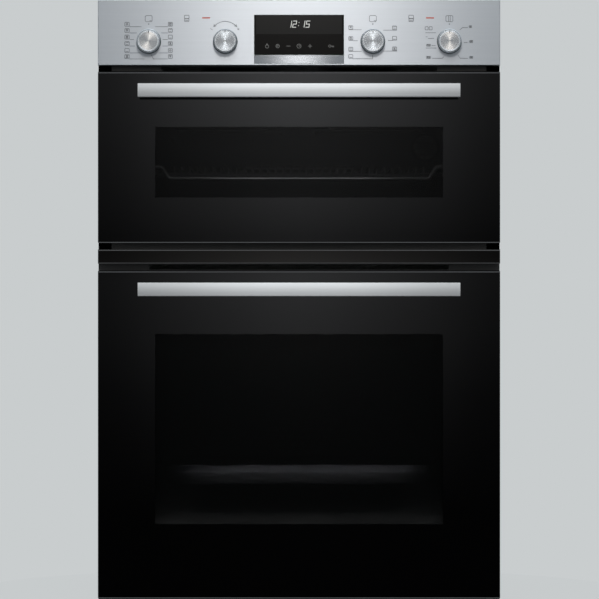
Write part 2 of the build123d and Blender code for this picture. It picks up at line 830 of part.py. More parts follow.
def control_board():
    """The circuit board behind the panel, with the display block that holds the glass and the strip."""
    half = DISPLAY_W / 2 + DISPLAY_BLOCK_RIM
    back = Y_FACE + FASCIA_T + DISPLAY_BLOCK_D
    low, high = Z_FASCIA + FASCIA_T + PART_FIT, Z_DISPLAY + DISPLAY_H + DISPLAY_BLOCK_RIM
    display_block = block(-half, half, Y_FACE + FASCIA_T, back, low, high)
    edge = DISPLAY_W / 2
    pocket = block(-edge, edge, Y_FACE - CUT, Y_INLAY, Z_BADGE, Z_DISPLAY + DISPLAY_H)
    neck = block(
        -DISPLAY_NECK_W / 2,
        DISPLAY_NECK_W / 2,
        back,
        Y_BOARD,
        KNOB_Z - DISPLAY_NECK_H / 2,
        KNOB_Z + DISPLAY_NECK_H / 2,
    )
    board = block(
        -BOARD_W / 2, BOARD_W / 2, Y_BOARD, Y_BOARD + BOARD_T, KNOB_Z - BOARD_H / 2, KNOB_Z + BOARD_H / 2
    )
    return fuse([display_block, neck, board]) - pocket


def selector_switches():
    """Four rotary switches on the board, each with a bore that its shaft turns in."""
    half = SWITCH_W / 2
    bodies = []
    for x in KNOB_XS:
        body = block(x - half, x + half, Y_BOARD - SWITCH_D, Y_BOARD, KNOB_Z - half, KNOB_Z + half)
        bore = rod_y(x, Y_BOARD - SWITCH_D - CUT, Y_BOARD + CUT, KNOB_Z, SHAFT_R + RUN_FIT)
        bodies.append(body - bore)
    return group(bodies)


def shaft_profile(x, y0, y1, radius, flat):
    """A round bar along the depth with a flat on its lower side."""
    bar = rod_y(x, y0, y1, KNOB_Z, radius)
    return bar - block(x - radius, x + radius, y0, y1, KNOB_Z - 2 * radius, KNOB_Z - flat)


def shaft_tip():
    """How far forward a shaft reaches: it just clears the knob's face when the knob is pushed in."""
    return Y_FACE - KNOB_PROUD + KNOB_FACE_T + KNOB_TRAVEL + SHAFT_END_GAP


def selector_shaft(x):
    flat_end = Y_BOARD - SWITCH_D - SHAFT_R
    front = shaft_profile(x, shaft_tip(), flat_end, SHAFT_R, SHAFT_R - SHAFT_FLAT)
    rear = rod_y(x, flat_end, Y_BOARD - SHAFT_END_GAP, KNOB_Z, SHAFT_R)
    return fuse([front, rear])


def knob(x):
    """A turned metal cap on a hub that slides along the shaft's flat."""
    front, rear = Y_FACE - KNOB_PROUD, Y_FACE + KNOB_SKIRT
    cap = rod_y(x, front, rear, KNOB_Z, KNOB_R)
    cap = chamfer(cap.faces().sort_by(Axis.Y)[0].edges(), KNOB_CHAMFER)
    dish = rod_y(x, front - CUT, front + KNOB_DISH, KNOB_Z, KNOB_DISH_R)
    inside = rod_y(x, front + KNOB_FACE_T, rear + CUT, KNOB_Z, KNOB_R - KNOB_WALL)
    hub = rod_y(x, front + KNOB_FACE_T, rear, KNOB_Z, KNOB_HUB_R)
    bore = shaft_profile(
        x, front + KNOB_FACE_T, rear + CUT, SHAFT_R + RUN_FIT, SHAFT_R - SHAFT_FLAT + RUN_FIT
    )
    mark = block(
        x - KNOB_MARK_W / 2,
        x + KNOB_MARK_W / 2,
        front - CUT,
        front + 2 * KNOB_DISH,
        KNOB_Z + KNOB_DISH_R - KNOB_MARK_L,
        KNOB_Z + KNOB_DISH_R,
    )
    return (cap - inside).fuse(hub) - dish - bore - mark


# Heating elements


def grill_element(oven):
    """A serpentine under the ceiling whose two ends pass through the rear wall."""
    outer = CAVITY_W / 2 - GRILL_SIDE_GAP
    rear, front = Y_WALL - GRILL_REAR, Y_BODY + GRILL_FRONT
    pitch = (rear - front) / (GRILL_ROWS - 1)
    half = [(TERMINAL_X, Y_WALL_BACK + TERMINAL_TAIL), (TERMINAL_X, rear), (outer, rear)]
    for row in range(1, GRILL_ROWS - 1):
        y = rear - row * pitch
        half += [(outer, y), (GRILL_INNER_X, y)] if row % 2 else [(GRILL_INNER_X, y), (outer, y)]
    half.append((half[-1][0], front))
    plan = [(-x, y) for x, y in half] + list(reversed(half))
    return tube([(x, y, oven.grill_z) for x, y in plan], ELEMENT_R, ELEMENT_BEND)


def base_element(oven):
    """A flat loop against the underside of the cavity's floor."""
    outer = CAVITY_W / 2 - GRILL_SIDE_GAP
    rear, front = Y_WALL - GRILL_REAR, Y_BODY + GRILL_FRONT
    z = oven.floor - CAVITY_T - SOFT_GAP - ELEMENT_R
    half = [(TERMINAL_X, Y_WALL), (TERMINAL_X, rear), (outer, rear), (outer, front)]
    plan = [(-x, y) for x, y in half] + list(reversed(half))
    return tube([(x, y, z) for x, y in plan], ELEMENT_R, ELEMENT_BEND)


def ring_element():
    """An open ring round the circulation fan, with two ends that run back through the wall."""
    y = Y_WALL - RING_WALL_GAP
    end_z = ring_end_z()
    start = (RING_GAP_X, y, end_z)
    ring = ThreePointArc(start, (0, y, FAN_Z - RING_R), (-RING_GAP_X, y, end_z))
    loop = sweep(Plane(origin=ring @ 0, z_dir=ring % 0) * Circle(ELEMENT_R), path=ring)
    corners = both_sides(Pos(*start) * Sphere(ELEMENT_R))
    legs = ring_ends(ELEMENT_R, y, Y_WALL_BACK + TERMINAL_TAIL)
    return fuse([loop, *corners, *legs])


# Circulation fan


def circulation_fan():
    """A bladed wheel and the shaft that it is pressed on."""
    back = Y_WALL - FAN_WALL_GAP
    disc = rod_y(0, back - FAN_BLADE_T, back, FAN_Z, FAN_R)
    hub = rod_y(0, back - FAN_BLADE_W, back, FAN_Z, FAN_HUB_R)
    blades = []
    for i in range(FAN_BLADES):
        half = FAN_BLADE_T / 2
        blade = block(FAN_BLADE_ROOT, FAN_R, back - FAN_BLADE_W, back - half, -half, half)
        blades.append(Pos(0, 0, FAN_Z) * Rot(0, i * 360 / FAN_BLADES, 0) * blade)
    end = Y_WALL_BACK + FAN_MOTOR_STANDOFF + FAN_MOTOR_D - SHAFT_END_GAP
    shaft = rod_y(0, back - FAN_BLADE_W - FAN_SHAFT_FRONT, end, FAN_Z, FAN_SHAFT_R)
    wheel = fuse([disc, hub, *blades]) - shaft
    return group([wheel, shaft])


def circulation_motor():
    """The fan's motor, which stands off the cavity's rear wall on four legs."""
    half = FAN_MOTOR_W / 2
    front = Y_WALL_BACK + FAN_MOTOR_STANDOFF
    body = block(-half, half, front, front + FAN_MOTOR_D, FAN_Z - half, FAN_Z + half)
    bore = rod_y(0, front - CUT, front + FAN_MOTOR_D + CUT, FAN_Z, FAN_SHAFT_R + RUN_FIT)
    leg = half - FAN_LEG_INSET
    legs = [
        rod_y(x, Y_WALL_BACK, front, FAN_Z + z, FAN_LEG_R) for x in (-leg, leg) for z in (-leg, leg)
    ]
    return fuse([body, *legs]) - bore


def fan_baffle():
    """The guard plate in front of the fan: a shallow tray with an intake grille and side outlets."""
    front = Y_WALL - BAFFLE_D
    outer = slab(BAFFLE_W, BAFFLE_H, BAFFLE_R, FAN_Z, front, Y_WALL)
    wall = 2 * SHEET
    hollow = slab(BAFFLE_W - wall, BAFFLE_H - wall, BAFFLE_R - SHEET, FAN_Z, front + SHEET, Y_WALL + CUT)
    rows = int(BAFFLE_GRILLE_R / BAFFLE_HOLE_PITCH)
    holes = []
    for row in range(-rows, rows + 1):
        z = row * BAFFLE_HOLE_PITCH * 3**0.5 / 2
        shift = BAFFLE_HOLE_PITCH / 2 if row % 2 else 0
        for column in range(-rows - 1, rows + 1):
            x = column * BAFFLE_HOLE_PITCH + shift
            if (x * x + z * z) ** 0.5 <= BAFFLE_GRILLE_R - BAFFLE_HOLE_R:
                holes.append(rod_y(x, front - CUT, front + SHEET + CUT, FAN_Z + z, BAFFLE_HOLE_R))
    for i in range(BAFFLE_SLOTS):
        z = FAN_Z + (i - (BAFFLE_SLOTS - 1) / 2) * BAFFLE_SLOT_PITCH
        y = (front + Y_WALL) / 2
        slot = block(
            -BAFFLE_W,
            BAFFLE_W,
            y - BAFFLE_SLOT_W / 2,
            y + BAFFLE_SLOT_W / 2,
            z - BAFFLE_SLOT_H / 2,
            z + BAFFLE_SLOT_H / 2,
        )
        holes.append(slot)
    return outer - hollow - holes


# Lamps and probes


def lamp_lens(oven):
    """A pressed glass cap that screws on to the socket through the rear wall."""
    dome = rod_y(LAMP_X, Y_WALL - LAMP_LENS_H, Y_WALL, oven.lamp_z, LAMP_LENS_R)
    return fillet(dome.faces().sort_by(Axis.Y)[0].edges(), LAMP_LENS_BEVEL)


def lamp_socket(oven):
    neck = rod_y(LAMP_X, Y_WALL, Y_WALL_BACK, oven.lamp_z, LAMP_NECK_R)
    collar = rod_y(LAMP_X, Y_WALL_BACK, Y_WALL_BACK + LAMP_SOCKET_D, oven.lamp_z, LAMP_LENS_R - SOFT_GAP)
    return fuse([neck, collar])


def temperature_probe(oven):
    stem = rod_y(PROBE_X, Y_WALL - PROBE_L, Y_WALL_BACK, oven.probe_z, PROBE_R)
    tip = Pos(PROBE_X, Y_WALL - PROBE_L, oven.probe_z) * Sphere(PROBE_R)
    plane = Plane(origin=(PROBE_X, Y_WALL_BACK, oven.probe_z), x_dir=(1, 0, 0), z_dir=(0, 1, 0))
    base = extrude(plane * RegularPolygon(PROBE_HEX_R, 6), amount=PROBE_HEX_T)
    return fuse([stem, tip, base])


# Shelf supports, rack and pan


def shelf_support(oven):
    """A welded wire frame on one side wall: two posts on wall pegs, and a runner for each level."""
    y0, y1 = Y_BODY + SUPPORT_FRONT, Y_WALL - SUPPORT_REAR
    low, high = oven.floor + SUPPORT_FOOT, oven.floor + oven.levels[-1] + SUPPORT_FOOT
    wires = [rod_z(SUPPORT_X, y, low, high, WIRE_R) for y in (y0, y1)]
    for y in (y0, y1):
        for z in (low, high):
            wires.append(Pos(SUPPORT_X, y, z) * Sphere(WIRE_R))
            wires.append(rod_x(SUPPORT_X, CAVITY_W / 2, y, z, WIRE_R))
    for level in oven.levels:
        z = oven.floor + level
        wires.append(rod_y(RUNNER_X, y0 - RUNNER_OVERHANG, y1 + RUNNER_OVERHANG, z, WIRE_R))
    return fuse(wires)


def wire_rack():
    """A welded rack: side bars on the runners, a low front bar that the rods drop to, and a rear stop."""
    side_x = RUNNER_X - RACK_SIDE_IN
    front, back = Y_BODY + SHELF_FRONT, Y_BODY + SHELF_FRONT + RACK_D
    knee_x = side_x - RACK_KNEE
    grid_x = knee_x - RACK_SLOPE
    low_z = RACK_Z - RACK_DROP

    def cranked(corners, y, radius):
        line = [(-x, y, z) for x, z in corners] + [(x, y, z) for x, z in reversed(corners)]
        return tube(line, radius, 2 * radius)

    stop_x = RACK_STOP_W / 2
    pieces = [
        cranked([(side_x, RACK_Z), (knee_x, RACK_Z), (grid_x, low_z)], front, RACK_BAR_R),
        rod_x(-side_x, side_x, back, RACK_Z, RACK_BAR_R),
        cranked(
            [(stop_x, RACK_Z), (stop_x - RACK_STOP_SLOPE, RACK_Z + RACK_STOP_RISE)], back, RACK_STOP_R
        ),
    ]
    for x in (-side_x, side_x):
        pieces.append(rod_y(x, front, back, RACK_Z, RACK_BAR_R))
        pieces += [Pos(x, y, RACK_Z) * Sphere(RACK_BAR_R) for y in (front, back)]
    reach = grid_x - RACK_GRID_MARGIN
    for i in range(RACK_RODS):
        x = -reach + 2 * reach * i / (RACK_RODS - 1)
        line = [(x, front, low_z), (x, front + RACK_ROD_RUN, RACK_Z), (x, back, RACK_Z)]
        pieces.append(tube(line, RACK_ROD_R, RACK_ROD_BEND))
    brace_z = RACK_Z - RACK_BAR_R - RACK_ROD_R + RACK_WELD
    pieces.append(rod_x(-reach, reach, back - RACK_BRACE, brace_z, RACK_BAR_R))
    return fuse(pieces)


def universal_pan():
    """A deep enamelled tray whose flange rides on the runners."""
    width = 2 * (SUPPORT_X - WIRE_R - POST_GAP)
    middle_y = Y_BODY + SHELF_FRONT + PAN_D / 2
    rim = PAN_Z + PAN_T
    tub_w, tub_d = width - 2 * PAN_FLANGE, PAN_D - 2 * PAN_FLANGE

    def tub(shrink, bottom, top):
        levels = ((top, 0), (bottom, PAN_TAPER))
        sketches = [
            Pos(0, middle_y, z)
            * RectangleRounded(tub_w - 2 * (shrink + s), tub_d - 2 * (shrink + s), PAN_R - shrink)
            for z, s in levels
        ]
        return loft(sketches)

    flange = extrude(Pos(0, middle_y, PAN_Z) * RectangleRounded(width, PAN_D, PAN_R), amount=PAN_T)
    half_lip = width / 2 - PAN_LIP_INSET
    front = Y_BODY + SHELF_FRONT
    lip = block(-half_lip, half_lip, front, front + PAN_T, rim - PAN_LIP_H, rim)
    outside = tub(0, rim - PAN_DEPTH, rim)
    inside = tub(PAN_T, rim - PAN_DEPTH + PAN_T, rim)
    mouth = extrude(
        Pos(0, middle_y, rim) * RectangleRounded(tub_w - 2 * PAN_T, tub_d - 2 * PAN_T, PAN_R - PAN_T),
        amount=CUT,
    )
    return fuse([outside, flange, lip]) - inside - mouth


# Cooling blower


def blower_housing():
    """The duct that blows cooling air out over the upper door, with the scroll behind it."""
    half = UPPER_VENT_W / 2 + DUCT_SIDE
    y_duct, y_axle = Y_BODY + DUCT_L, Y_BODY + SCROLL_Y
    duct = block(-half, half, Y_BODY, y_duct, Z_DUCT, Z_DUCT + DUCT_H)
    end = SCROLL_L / 2
    throat = block(-end, end, y_duct - DUCT_WALL, y_axle, Z_DUCT, Z_DUCT + THROAT_H)
    scroll = rod_x(-end, end, y_axle, SCROLL_Z, SCROLL_R)
    wall = DUCT_WALL
    floor, roof = Z_DUCT + wall, Z_DUCT + DUCT_H - wall
    duct_bore = block(wall - half, half - wall, Y_BODY - CUT, y_duct - wall, floor, roof)
    throat_bore = block(wall - end, end - wall, y_duct - 2 * wall, y_axle, floor, roof)
    rise_bore = block(wall - end, end - wall, y_duct + wall, y_axle, floor, Z_DUCT + THROAT_H - wall)
    scroll_bore = rod_x(wall - end, end - wall, y_axle, SCROLL_Z, SCROLL_R - wall)
    intake = block(wall - end, end - wall, y_axle, y_axle + 2 * SCROLL_R, SCROLL_Z, SCROLL_Z + BLOWER_R)
    axle_bore = rod_x(-end - CUT, end + HANGER_T + CUT, y_axle, SCROLL_Z, BLOWER_AXLE_R + RUN_FIT)
    top = Z_BODY_TOP - SHEET
    hanger = block(end, end + HANGER_T, y_axle - HANGER_D / 2, y_axle + HANGER_D / 2, SCROLL_Z, top)
    outer = fuse([duct, throat, scroll, *both_sides(hanger)])
    return outer - duct_bore - throat_bore - rise_bore - scroll_bore - intake - axle_bore


def blower_impeller():
    """A drum of thin blades between end discs, on an axle that runs into the motor."""
    y = Y_BODY + SCROLL_Y
    half = SCROLL_L / 2 - BLOWER_END_GAP
    axle_end = SCROLL_L / 2 + HANGER_T + BLOWER_MOTOR_L - SHAFT_END_GAP
    pieces = [rod_x(-SCROLL_L / 2 - HANGER_T, axle_end, y, SCROLL_Z, BLOWER_AXLE_R)]
    for x in (-half, -BLOWER_DISC_T / 2, half - BLOWER_DISC_T):
        pieces.append(rod_x(x, x + BLOWER_DISC_T, y, SCROLL_Z, BLOWER_R))
    for i in range(BLOWER_BLADES):
        blade = block(
            -half,
            half,
            -BLOWER_BLADE_T / 2,
            BLOWER_BLADE_T / 2,
            BLOWER_R - BLOWER_BLADE_W,
            BLOWER_R - BLOWER_BLADE_T / 2,
        )
        pieces.append(Pos(0, y, SCROLL_Z) * Rot(i * 360 / BLOWER_BLADES, 0, 0) * blade)
    return fuse(pieces)


def blower_motor():
    start = SCROLL_L / 2 + HANGER_T
    y = Y_BODY + SCROLL_Y
    body = rod_x(start, start + BLOWER_MOTOR_L, y, SCROLL_Z, BLOWER_MOTOR_R)
    bore = rod_x(start - CUT, start + BLOWER_MOTOR_L + CUT, y, SCROLL_Z, BLOWER_AXLE_R + RUN_FIT)
    return body - bore


# Mains connection and power board


def cable_gland():
    """The cable entry in the rear panel: a flanged sleeve with a clear bore."""
    y0, y1 = Y_BACK - GLAND_INSIDE, Y_BACK + GLAND_REACH
    sleeve = rod_y(GLAND_X, y0, y1, GLAND_Z, GLAND_BODY_R)
    flange = rod_y(GLAND_X, Y_BACK, Y_BACK + GLAND_FLANGE_T, GLAND_Z, GLAND_FLANGE_R)
    bore = rod_y(GLAND_X, y0 - CUT, y1 + CUT, GLAND_Z, GLAND_BORE_R)
    return fuse([sleeve, flange]) - bore


def terminal_block():
    """The mains terminals, fixed inside the rear panel above the cable entry."""
    z = GLAND_Z + TERMINAL_RISE
    front = Y_IN_BACK - TERMINAL_D
    half_w, half_h = TERMINAL_W / 2, TERMINAL_H / 2
    body = block(GLAND_X - half_w, GLAND_X + half_w, front, Y_IN_BACK, z - half_h, z + half_h)
    pitch = TERMINAL_W / TERMINAL_WELLS
    wells = []
    for i in range(TERMINAL_WELLS):
        x = GLAND_X + (i - (TERMINAL_WELLS - 1) / 2) * pitch
        wells.append(rod_y(x, front - CUT, front + TERMINAL_D / 2, z, pitch / 3))
    return body - wells


def power_board():
    """The relay board, on four standoffs from the left side panel."""
    x0 = -IN_X + POWER_STANDOFF
    x1 = x0 + BOARD_T
    y0 = Y_BODY + POWER_BOARD_Y
    y1 = y0 + POWER_BOARD_L
    high = Z_BODY_TOP - FOLD - POWER_BOARD_DROP
    low = high - POWER_BOARD_H
    pieces = [block(x0, x1, y0, y1, low, high)]
    inset = 2 * POWER_STANDOFF_R
    for y in (y0 + inset, y1 - inset):
        for z in (low + inset, high - inset):
            pieces.append(rod_x(-IN_X, x0, y, z, POWER_STANDOFF_R))
    middle = (y0 + y1) / 2
    for i in range(RELAY_COUNT):
        y = middle + (i - (RELAY_COUNT - 1) / 2) * RELAY_PITCH
        z = (low + high) / 2
        pieces.append(
            block(x1, x1 + RELAY_H, y - RELAY_W / 2, y + RELAY_W / 2, z - RELAY_W, z + RELAY_W)
        )
    return fuse(pieces)


# Doors


def pane(y0, y1, oven, margin=0.0):
    """A glass sheet held at its edges by the door's columns and rails."""
    half = COLUMN_IN + PANE_GRIP + margin
    low = oven.bottom_rail[1] - PANE_GRIP - margin
    high = oven.top_rail[0] + PANE_GRIP + margin
    return block(-half, half, y0 - margin, y1 + margin, low, high)


def inner_pane(oven, margin=0.0):
    return pane(Y_PANE_BACK - INNER_GLASS_T, Y_PANE_BACK, oven, margin)


def middle_pane(oven, margin=0.0):
    middle = (Y_GLASS_BACK + Y_PANE_BACK - INNER_GLASS_T) / 2
    return pane(middle - MIDDLE_GLASS_T / 2, middle + MIDDLE_GLASS_T / 2, oven, margin)


def pane_grooves(oven):
    """Cutting tools for the grooves that hold the panes behind the outer glass."""
    grooves = [inner_pane(oven, PANE_FIT)]
    if oven is LOWER:
        grooves.append(middle_pane(oven, PANE_FIT))
    return grooves


def bolt_holes(oven, y0, y1):
    """Cutting tools where the handle's two bolts pass."""
    return both_sides(rod_y(POST_X, y0, y1, oven.bolt_z, BOLT_R + BOLT_FIT))


def outer_glass(oven):
    sheet = slab(FRONT_W, oven.door_h, GLASS_R, oven.door_middle, Y_FACE, Y_GLASS_BACK)
    sheet = chamfer(sheet.faces().sort_by(Axis.Y)[0].edges(), GLASS_CHAMFER)
    return sheet - bolt_holes(oven, Y_FACE - CUT, Y_GLASS_BACK + CUT)


def door_column(oven):
    """The right-hand upright of a door: a box section that hides the hinge, slotted for the claw."""
    half = COLUMN_W / 2
    low, high = oven.bottom_rail[0], oven.top_rail[1]
    outer = block(HINGE_X - half, HINGE_X + half, Y_GLASS_BACK, Y_DOOR_BACK, low, high)
    wall = DOOR_WALL
    hollow = block(
        HINGE_X - half + wall,
        HINGE_X + half - wall,
        Y_GLASS_BACK + wall,
        Y_DOOR_BACK - wall,
        low - CUT,
        high - wall,
    )
    gap = CLAW_T / 2 + CLAW_SLOT_GAP
    slot_top = oven.pivot_z + LINK_EAR_RISE + CLAW_SLOT_GAP
    slot = block(HINGE_X - gap, HINGE_X + gap, Y_DOOR_BACK - 2 * wall, Y_DOOR_BACK + CUT, low - CUT, slot_top)
    return outer - hollow - slot - pane_grooves(oven)


def door_rail(oven, low, high, pane_below):
    """A cross rail of a door: a box section, thick on the side where the panes are let in."""
    wall, thick = DOOR_WALL, DOOR_WALL + PANE_GRIP
    void_low = low + (thick if pane_below else wall)
    void_high = high - (wall if pane_below else thick)
    outer = block(-COLUMN_IN, COLUMN_IN, Y_GLASS_BACK, Y_DOOR_BACK, low, high)
    hollow = block(
        -COLUMN_IN - CUT, COLUMN_IN + CUT, Y_GLASS_BACK + wall, Y_DOOR_BACK - wall, void_low, void_high
    )
    return outer - hollow - pane_grooves(oven)


def bottom_rail(oven):
    return door_rail(oven, *oven.bottom_rail, pane_below=False)


def top_rail(oven):
    """The upper cross rail, bored for the handle's bolts and slotted to let warm air out of the door."""
    low, high = oven.top_rail
    bolts = bolt_holes(oven, Y_GLASS_BACK - CUT, Y_GLASS_BACK + DOOR_WALL + CUT)
    count = int(2 * COLUMN_IN / RAIL_SLOT_PITCH) - 1
    middle = (Y_GLASS_BACK + Y_PANE_BACK - INNER_GLASS_T) / 2
    slots = []
    for i in range(count):
        x = (i - (count - 1) / 2) * RAIL_SLOT_PITCH
        slots.append(
            block(
                x - RAIL_SLOT_L / 2,
                x + RAIL_SLOT_L / 2,
                middle - RAIL_SLOT_W / 2,
                middle + RAIL_SLOT_W / 2,
                high - DOOR_WALL - CUT,
                high + CUT,
            )
        )
    return door_rail(oven, low, high, pane_below=True) - bolts - slots


def door_frame(oven):
    """Two columns and two rails."""
    return group([*both_sides(door_column(oven)), top_rail(oven), bottom_rail(oven)])


def handle(oven):
    """A flat bar with a slightly crowned front on two posts, and the bolts that hold it through the glass."""
    front, back = Y_FACE - HANDLE_REACH, Y_FACE - HANDLE_REACH + HANDLE_T
    shoulder, half = front + HANDLE_CROWN, HANDLE_H / 2
    crown = ThreePointArc((shoulder, -half), (front, 0), (shoulder, half))
    outline = make_face(crown + Polyline((shoulder, half), (back, half), (back, -half), (shoulder, -half)))
    section = fillet(outline.vertices(), HANDLE_R)
    plane = Plane(origin=(-HANDLE_L / 2, 0, oven.handle_z), x_dir=(0, 1, 0), z_dir=(1, 0, 0))
    bar = extrude(plane * section, amount=HANDLE_L)
    bolt_front = Y_FACE - BOLT_GRIP
    seat = Y_GLASS_BACK + DOOR_WALL
    shank = rod_y(POST_X, bolt_front, seat, oven.bolt_z, BOLT_R)
    head = rod_y(POST_X, seat, seat + BOLT_HEAD_T, oven.bolt_z, BOLT_HEAD_R)
    post = rod_y(POST_X, back, Y_FACE, oven.handle_z, POST_R) - shank
    return group([bar, *both_sides(post), *both_sides(fuse([shank, head]))])


def hinge_channel(oven):
    """The right-hand hinge's steel channel, which turns on the pin and seats the spring."""
    half, wall = CHANNEL_W / 2, CHANNEL_WALL
    front = Y_GLASS_BACK + DOOR_WALL
    back = front + CHANNEL_D
    low = oven.pivot_z - CHANNEL_BELOW_PIVOT
    high = oven.spring_top + WASHER_T + CHANNEL_TOP_ROOM
    outer = block(HINGE_X - half, HINGE_X + half, front, back, low, high)
    left, right = HINGE_X - half + wall, HINGE_X + half - wall
    inside = block(left, right, front + wall, back + CUT, low - CUT, high + CUT)
    foot = block(left, right, front - CUT, back, low - CUT, oven.pivot_z + CHANNEL_WEB_RISE)
    seat_z = oven.pivot_z + SPRING_SEAT_RISE
    seat = block(left, right, front, back, seat_z, seat_z + SPRING_SEAT_T)
    rod_hole = rod_z(HINGE_X, rod_y_place(), seat_z - CUT, seat_z + SPRING_SEAT_T + CUT, ROD_R + ROD_FIT)
    pin_hole = rod_x(HINGE_X - half - CUT, HINGE_X + half + CUT, PIVOT_Y, oven.pivot_z, PIN_R + RUN_FIT)
    return fuse([outer - inside - foot, seat]) - rod_hole - pin_hole


def rod_y_place():
    """Depth of the hinge spring's axis: the middle of the channel's inside."""
    front = Y_GLASS_BACK + DOOR_WALL
    return front + (CHANNEL_WALL + CHANNEL_D) / 2


def hinge_rod(oven):
    """The rod that the claw's link pulls: it carries the spring's washer."""
    y = rod_y_place()
    low = oven.pivot_z + LINK_RISE
    top = oven.spring_top
    stem = rod_z(HINGE_X, y, low, top, ROD_R)
    washer = rod_z(HINGE_X, y, top, top + WASHER_T, WASHER_R)
    eye = rod_x(HINGE_X - LINK_END_W / 2, HINGE_X + LINK_END_W / 2, y, low, LINK_END_R)
    return fuse([stem, washer, eye])


def hinge_spring(oven):
    """A compression coil of flat wire round the rod, between the channel's seat and the rod's washer."""
    start = oven.pivot_z + SPRING_SEAT_RISE + SPRING_SEAT_T + SPRING_WIRE_H / 2 + SOFT_GAP
    coil = Helix(SPRING_PITCH, SPRING_TURNS * SPRING_PITCH, SPRING_R)
    plane = Plane(origin=coil @ 0, x_dir=(1, 0, 0), z_dir=coil % 0)
    wire = sweep(plane * Rectangle(SPRING_WIRE_W, SPRING_WIRE_H), path=coil, is_frenet=True)
    return Pos(HINGE_X, rod_y_place(), start) * wire


def hinge_claw(oven):
    """The fixed half of a hinge: a hub on the pin, an arm that hooks the front frame, and a link ear."""
    z, half = oven.pivot_z, CLAW_T / 2
    hub_half = CHANNEL_W / 2 - CHANNEL_WALL - PART_FIT
    hub = rod_x(HINGE_X - hub_half, HINGE_X + hub_half, PIVOT_Y, z, HUB_R)
    arm = block(HINGE_X - half, HINGE_X + half, PIVOT_Y, Y_BODY + CLAW_TAIL, z - CLAW_H / 2, z + CLAW_H / 2)
    ear = rod_x(HINGE_X - half, HINGE_X + half, PIVOT_Y, z + LINK_EAR_RISE, LINK_EAR_R)
    ear_y0, ear_y1 = PIVOT_Y - LINK_EAR_R, PIVOT_Y + LINK_EAR_R
    neck = block(HINGE_X - half, HINGE_X + half, ear_y0, ear_y1, z, z + LINK_EAR_RISE)
    notch = block(
        HINGE_X - CLAW_T,
        HINGE_X + CLAW_T,
        Y_FRAME - PANE_FIT,
        Y_BODY + PANE_FIT,
        z - CLAW_H,
        z - CLAW_H / 2 + CLAW_BITE,
    )
    link_hole = rod_x(HINGE_X - CLAW_T, HINGE_X + CLAW_T, PIVOT_Y, z + LINK_EAR_RISE, LINK_HOLE_R)
    return fuse([hub, arm, neck, ear]) - notch - link_hole - hinge_pin(oven)


def hinge_pin(oven):
    half = CHANNEL_W / 2
    return rod_x(HINGE_X - half, HINGE_X + half, PIVOT_Y, oven.pivot_z, PIN_R)


def pair(make, oven):
    """A right-hand piece and its left-hand mirror image in one node."""
    return group(both_sides(make(oven)))


def each_oven(make):
    """A like piece of both ovens in one node."""
    return group([make(oven) for oven in OVENS])


def each_hinge(make):
    """A like piece of all four hinges in one node."""
    return group([piece for oven in OVENS for piece in both_sides(make(oven))])


# The whole oven


def nodes():
    """Every named piece of the oven."""
    made = {
        "base_pan": base_pan(),
        "side_panel_left": side_panel(-1),
        "side_panel_right": side_panel(1),
        "rear_panel": rear_panel(),
        "top_cover": top_cover(),
        "casing_screws": casing_screws(),
        "front_frame": front_frame(),
        "mid_trim": mid_trim(),
        "upper_cavity": cavity(UPPER),
        "lower_cavity": cavity(LOWER),
        "insulation_wraps": each_oven(insulation),
        "door_seals": each_oven(door_seal),
        "shelf_supports": group([s for oven in OVENS for s in both_sides(shelf_support(oven))]),
        "grill_elements": each_oven(grill_element),
        "base_elements": each_oven(base_element),
        "ring_element": ring_element(),
        "fan_baffle": fan_baffle(),
        "circulation_fan": circulation_fan(),
        "circulation_motor": circulation_motor(),
        "lamp_lenses": each_oven(lamp_lens),
        "lamp_sockets": each_oven(lamp_socket),
        "temperature_probes": each_oven(temperature_probe),
        "blower_housing": blower_housing(),
        "blower_impeller": blower_impeller(),
        "blower_motor": blower_motor(),
        "power_board": power_board(),
        "terminal_block": terminal_block(),
        "cable_gland": cable_gland(),
        "control_panel": control_panel(),
        "display_glass": display_glass(),
        "badge_strip": badge_strip(),
        "control_board": control_board(),
        "selector_switches": selector_switches(),
        "wire_rack": wire_rack(),
        "universal_pan": universal_pan(),
        "hinge_claws": each_hinge(hinge_claw),
        "hinge_pins": each_hinge(hinge_pin),
        "lower_middle_glass": middle_pane(LOWER),
    }
    for number, x in enumerate(KNOB_XS, start=1):
        made[f"selector_shaft_{number}"] = selector_shaft(x)
        made[f"knob_{number}"] = knob(x)
    for oven in OVENS:
        made[f"{oven.name}_outer_glass"] = outer_glass(oven)
        made[f"{oven.name}_inner_glass"] = inner_pane(oven)
        made[f"{oven.name}_door_frame"] = door_frame(oven)
        made[f"{oven.name}_handle"] = handle(oven)
        made[f"{oven.name}_hinge_channels"] = pair(hinge_channel, oven)
        made[f"{oven.name}_hinge_rods"] = pair(hinge_rod, oven)
        made[f"{oven.name}_hinge_springs"] = pair(hinge_spring, oven)
    return made


def main():
    os.makedirs("parts", exist_ok=True)
    for name, shape in nodes().items():
        export_step(shape, f"parts/{name}.step")


if __name__ == "__main__":
    main()
